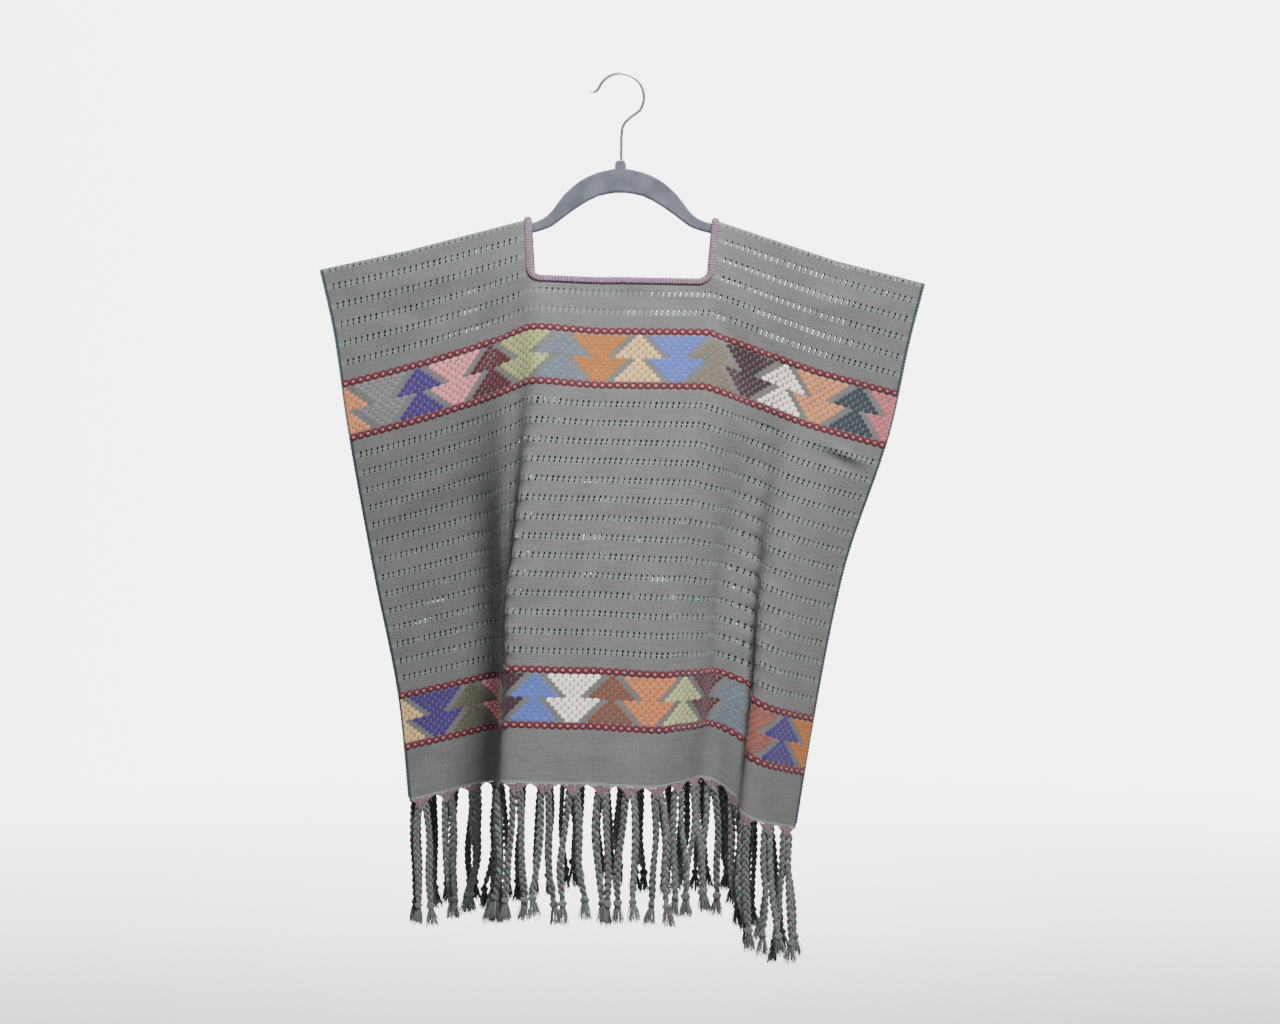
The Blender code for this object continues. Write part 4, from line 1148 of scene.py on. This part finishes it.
def hang_braid(heap, web, u, spread, number, chance):
    """One plait, its knot and its frayed end."""
    root = web.raised(u, LENGTH, 0.0)
    along = web.raised(u + 0.002, LENGTH, 0.0) - web.raised(u - 0.002, LENGTH, 0.0)
    along = unit(along * (1.0, 1.0, 0.0))
    out = np.array([along[1], -along[0], 0.0])
    turn = either_way(chance, BRAID_TURN)
    wide = along * cos(turn) + out * sin(turn)
    deep = out * cos(turn) - along * sin(turn)
    reach = (KNOT_DROP - BRAID_TOP) * (1.0 + either_way(chance, BRAID_UNEVEN))
    sway = wander(chance, *BRAID_SWAY) + (spread * BRAID_PART, 0.0, 0.0)
    bow = wander(chance, *BRAID_BOW)
    wave = wander(chance, *BRAID_WAVE)
    phase = 2.0 * pi * chance.rand()
    down = np.arange(0.0, reach, BRAID_PERIOD / 12.0)
    share = down / reach
    spine = root + out * spread * BRAID_OVERLAP + np.outer(share ** 1.3, sway)
    spine += np.outer(np.sin(pi * share), bow) + np.outer(np.sin(2.3 * pi * share) * share, wave)
    spine[:, 2] -= BRAID_TOP + down
    tight = np.clip(1.0 - (share - 0.90) * 3.0, 0.72, 1.0) * (0.94 + 0.06 * np.cos(9.0 * share + phase))
    tones = [dye(FRINGE_YARNS[k]) for k in FRINGE_MIXES[number % len(FRINGE_MIXES)]]
    for strand, tone in enumerate(tones):
        swing = 2.0 * pi * (down / BRAID_PERIOD + strand / 3.0) + phase
        line = spine + np.outer(BRAID_SWING_WIDE * np.sin(swing) * tight, wide)
        line += np.outer(BRAID_SWING_DEEP * np.sin(2.0 * swing) * tight, deep)
        lay_yarn(heap, line, STRAND_RADIUS * tight, STRAND_SIDES, tone * (0.92 + 0.16 * chance.rand()))
    knot = spine[-1] + (KNOT_SEAT[0] * sin(phase), *KNOT_SEAT[1:])
    tie_knot(heap, knot, tones, phase, chance)
    drops = np.linspace(0.0, 1.0, 4)
    for hair in range(TUFT_HAIRS):
        angle = 2.0 * pi * hair / TUFT_HAIRS + 0.5 * chance.rand()
        flare = TUFT_FLARE * sqrt(chance.rand())
        way = wide * cos(angle) + deep * sin(angle)
        long = TUFT_LONG * (0.72 + 0.34 * chance.rand())
        start = knot + way * TUFT_ROOT * sqrt(chance.rand()) - (0.0, 0.0, TUFT_SINK)
        line = start + np.outer(drops ** 0.8, way * flare + (TUFT_LEAN * sin(phase), 0.0, 0.0))
        line += np.outer(np.sin(drops * pi) * either_way(chance, TUFT_CURL), along)
        line[:, 2] -= drops * long
        lay_yarn(heap, line, HAIR_RADIUS * (1.0 - 0.4 * drops), HAIR_SIDES,
                 tones[hair % 3] * (0.85 + 0.3 * chance.rand()))


def plait_fringe(name, web, seed):
    """Swags and plaits all along one hem, as one piece."""
    chance = np.random.RandomState(seed)
    heap = Heap()
    pitch = 2.0 * HALF_WIDTH / FRINGE_PAIRS
    for pair in range(FRINGE_PAIRS):
        middle = -HALF_WIDTH + pitch * (pair + 0.5)
        lay_swag(heap, web, middle, pitch / 2.0 - SWAG_ROOM)
        for spread in (-1.0, 1.0):
            number = 2 * pair + int(spread > 0.0) + seed
            hang_braid(heap, web, middle + spread * BRAID_REACH, spread, number, chance)
    piece = finished_piece(name, heap.points, heap.faces, smooth_angle=75.0)
    yarn_colours(piece, heap.values)
    return piece


front_plaits = plait_fringe("front_plaits", front_web, seed=41)
back_plaits = plait_fringe("back_plaits", back_web, seed=44)

# Plied warp cotton, handled and a little fuzzy: teal, mauve grey and brown grey
plied_cotton, tree, shader = new_material("plied_warp_cotton", {
    "Roughness": 0.90, "IOR": 1.50, "Sheen Weight": 0.20, "Sheen Roughness": 0.5})
yarn_colour = add(tree, "ShaderNodeAttribute", {"attribute_name": "yarn"})
inside = add(tree, "ShaderNodeTexCoord")
fibres = noise(tree, stretched(tree, inside.outputs["Object"], [1.0 / size for size in FIBRE_SIZE]), 2.0)
spun = yarn_colour.outputs["Color"]
for unevenness, low, high in ((fibres, 0.72, 1.22), (grain(tree, PATCH_SIZE, 1.0), 0.84, 1.14)):
    spun = lightened(tree, spun, remap(tree, unevenness, 0.3, 0.7, low, high))
coat(tree, shader, spun, fibres, strength=0.6, depth=0.0005)

for plaits, node in ((front_plaits, "front_fringe"), (back_plaits, "back_fringe")):
    plaits.data.materials.append(plied_cotton)
    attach(plaits, "root")
    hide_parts(node)

# Hanger body: one moulded shape in grey plastic, covered all over with short
# flock so that the cloth doesn't slip: two shallow arms that curve up to a nub.
# The flock's nap is 0.7 mm deep, and it is brushed in patches of about 18 mm.
FLOCK_GREY = "5b5f6a"
FLOCK_DEEP = "474b55"
NAP_SIZE = 0.0007
BRUSHED_SIZE = 0.018

nylon_flock, tree, shader = new_material("grey_nylon_flock", {
    "Roughness": 0.95, "IOR": 1.53, "Sheen Weight": 0.45, "Sheen Roughness": 0.35})
nap = grain(tree, NAP_SIZE, 2.0)
pile = calc(tree, "MULTIPLY_ADD", nap, 0.5, grain(tree, BRUSHED_SIZE, 2.0))
flock = ramp(tree, pile, ((0.55, FLOCK_DEEP), (0.90, FLOCK_GREY)))
coat(tree, shader, flock, nap, strength=0.35, depth=0.0003)
hanger = bpy.data.objects["hanger_body"]
hanger.data.materials.clear()
hanger.data.materials.append(nylon_flock)

# Hook: one bright chromed steel wire, 3 mm thick, pressed into the top of the
# body, with an S bend under its bow and its tip turned a little outwards.
HOOK_WIRE = 0.0030
HOOK_RADIUS = 0.0242
NUB_TOP = -0.0880
HOOK_STEM = ((0.0008, NUB_TOP + SEAM_GAP), (0.0009, -0.0740), (0.0012, -0.0615))
HOOK_BEND = ((0.0030, -0.0520), (0.0100, -0.0440))
HOOK_BOW = (-34.0, 158.0)
HOOK_TIP = ((-0.0262, -0.0172), (-0.0305, -0.0160))
CHROME = "d7d8da"
MARK_SIZE = 0.0060

bow = []
for turn in np.linspace(*HOOK_BOW, 17):
    level = HOOK_WIRE / 2.0 - HOOK_RADIUS + HOOK_RADIUS * sin(radians(turn))
    bow.append((HOOK_RADIUS * cos(radians(turn)), level))
stops = (*HOOK_STEM, *HOOK_BEND, *bow, *HOOK_TIP)
deselect()
bpy.ops.curve.primitive_bezier_curve_add()
wire = bpy.context.object
wire.name = "hook_wire"
bends = wire.data.splines[0].bezier_points
bends.add(len(stops) - len(bends))
for bend, (x, z) in zip(bends, stops):
    bend.co = (x, 0.0, z)
    bend.handle_left_type = "AUTO"
    bend.handle_right_type = "AUTO"
wire.data.resolution_u = 4
wire.data.bevel_depth = HOOK_WIRE / 2.0
wire.data.bevel_resolution = 8
wire.data.use_fill_caps = True
bpy.ops.object.convert(target="MESH")
bpy.ops.object.mode_set(mode="EDIT")
bpy.ops.mesh.select_all(action="SELECT")
bpy.ops.mesh.remove_doubles(threshold=HOOK_WIRE / 100.0)
bpy.ops.mesh.normals_make_consistent(inside=False)
bpy.ops.object.mode_set(mode="OBJECT")
bpy.ops.object.shade_smooth_by_angle(angle=radians(60.0))

# Chromed steel: a satin finish, a little uneven along the wire
chromed_steel, tree, shader = new_material("chromed_steel_wire", {
    "Base Color": linear(CHROME), "Metallic": 1.0})
polish = remap(tree, grain(tree, MARK_SIZE, 1.0), 0.3, 0.7, 0.26, 0.32)
tree.links.new(polish, shader.inputs["Roughness"])
wire.data.materials.append(chromed_steel)
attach(wire, "root")
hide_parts("hook")

# The box that the dressed model fills
low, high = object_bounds()
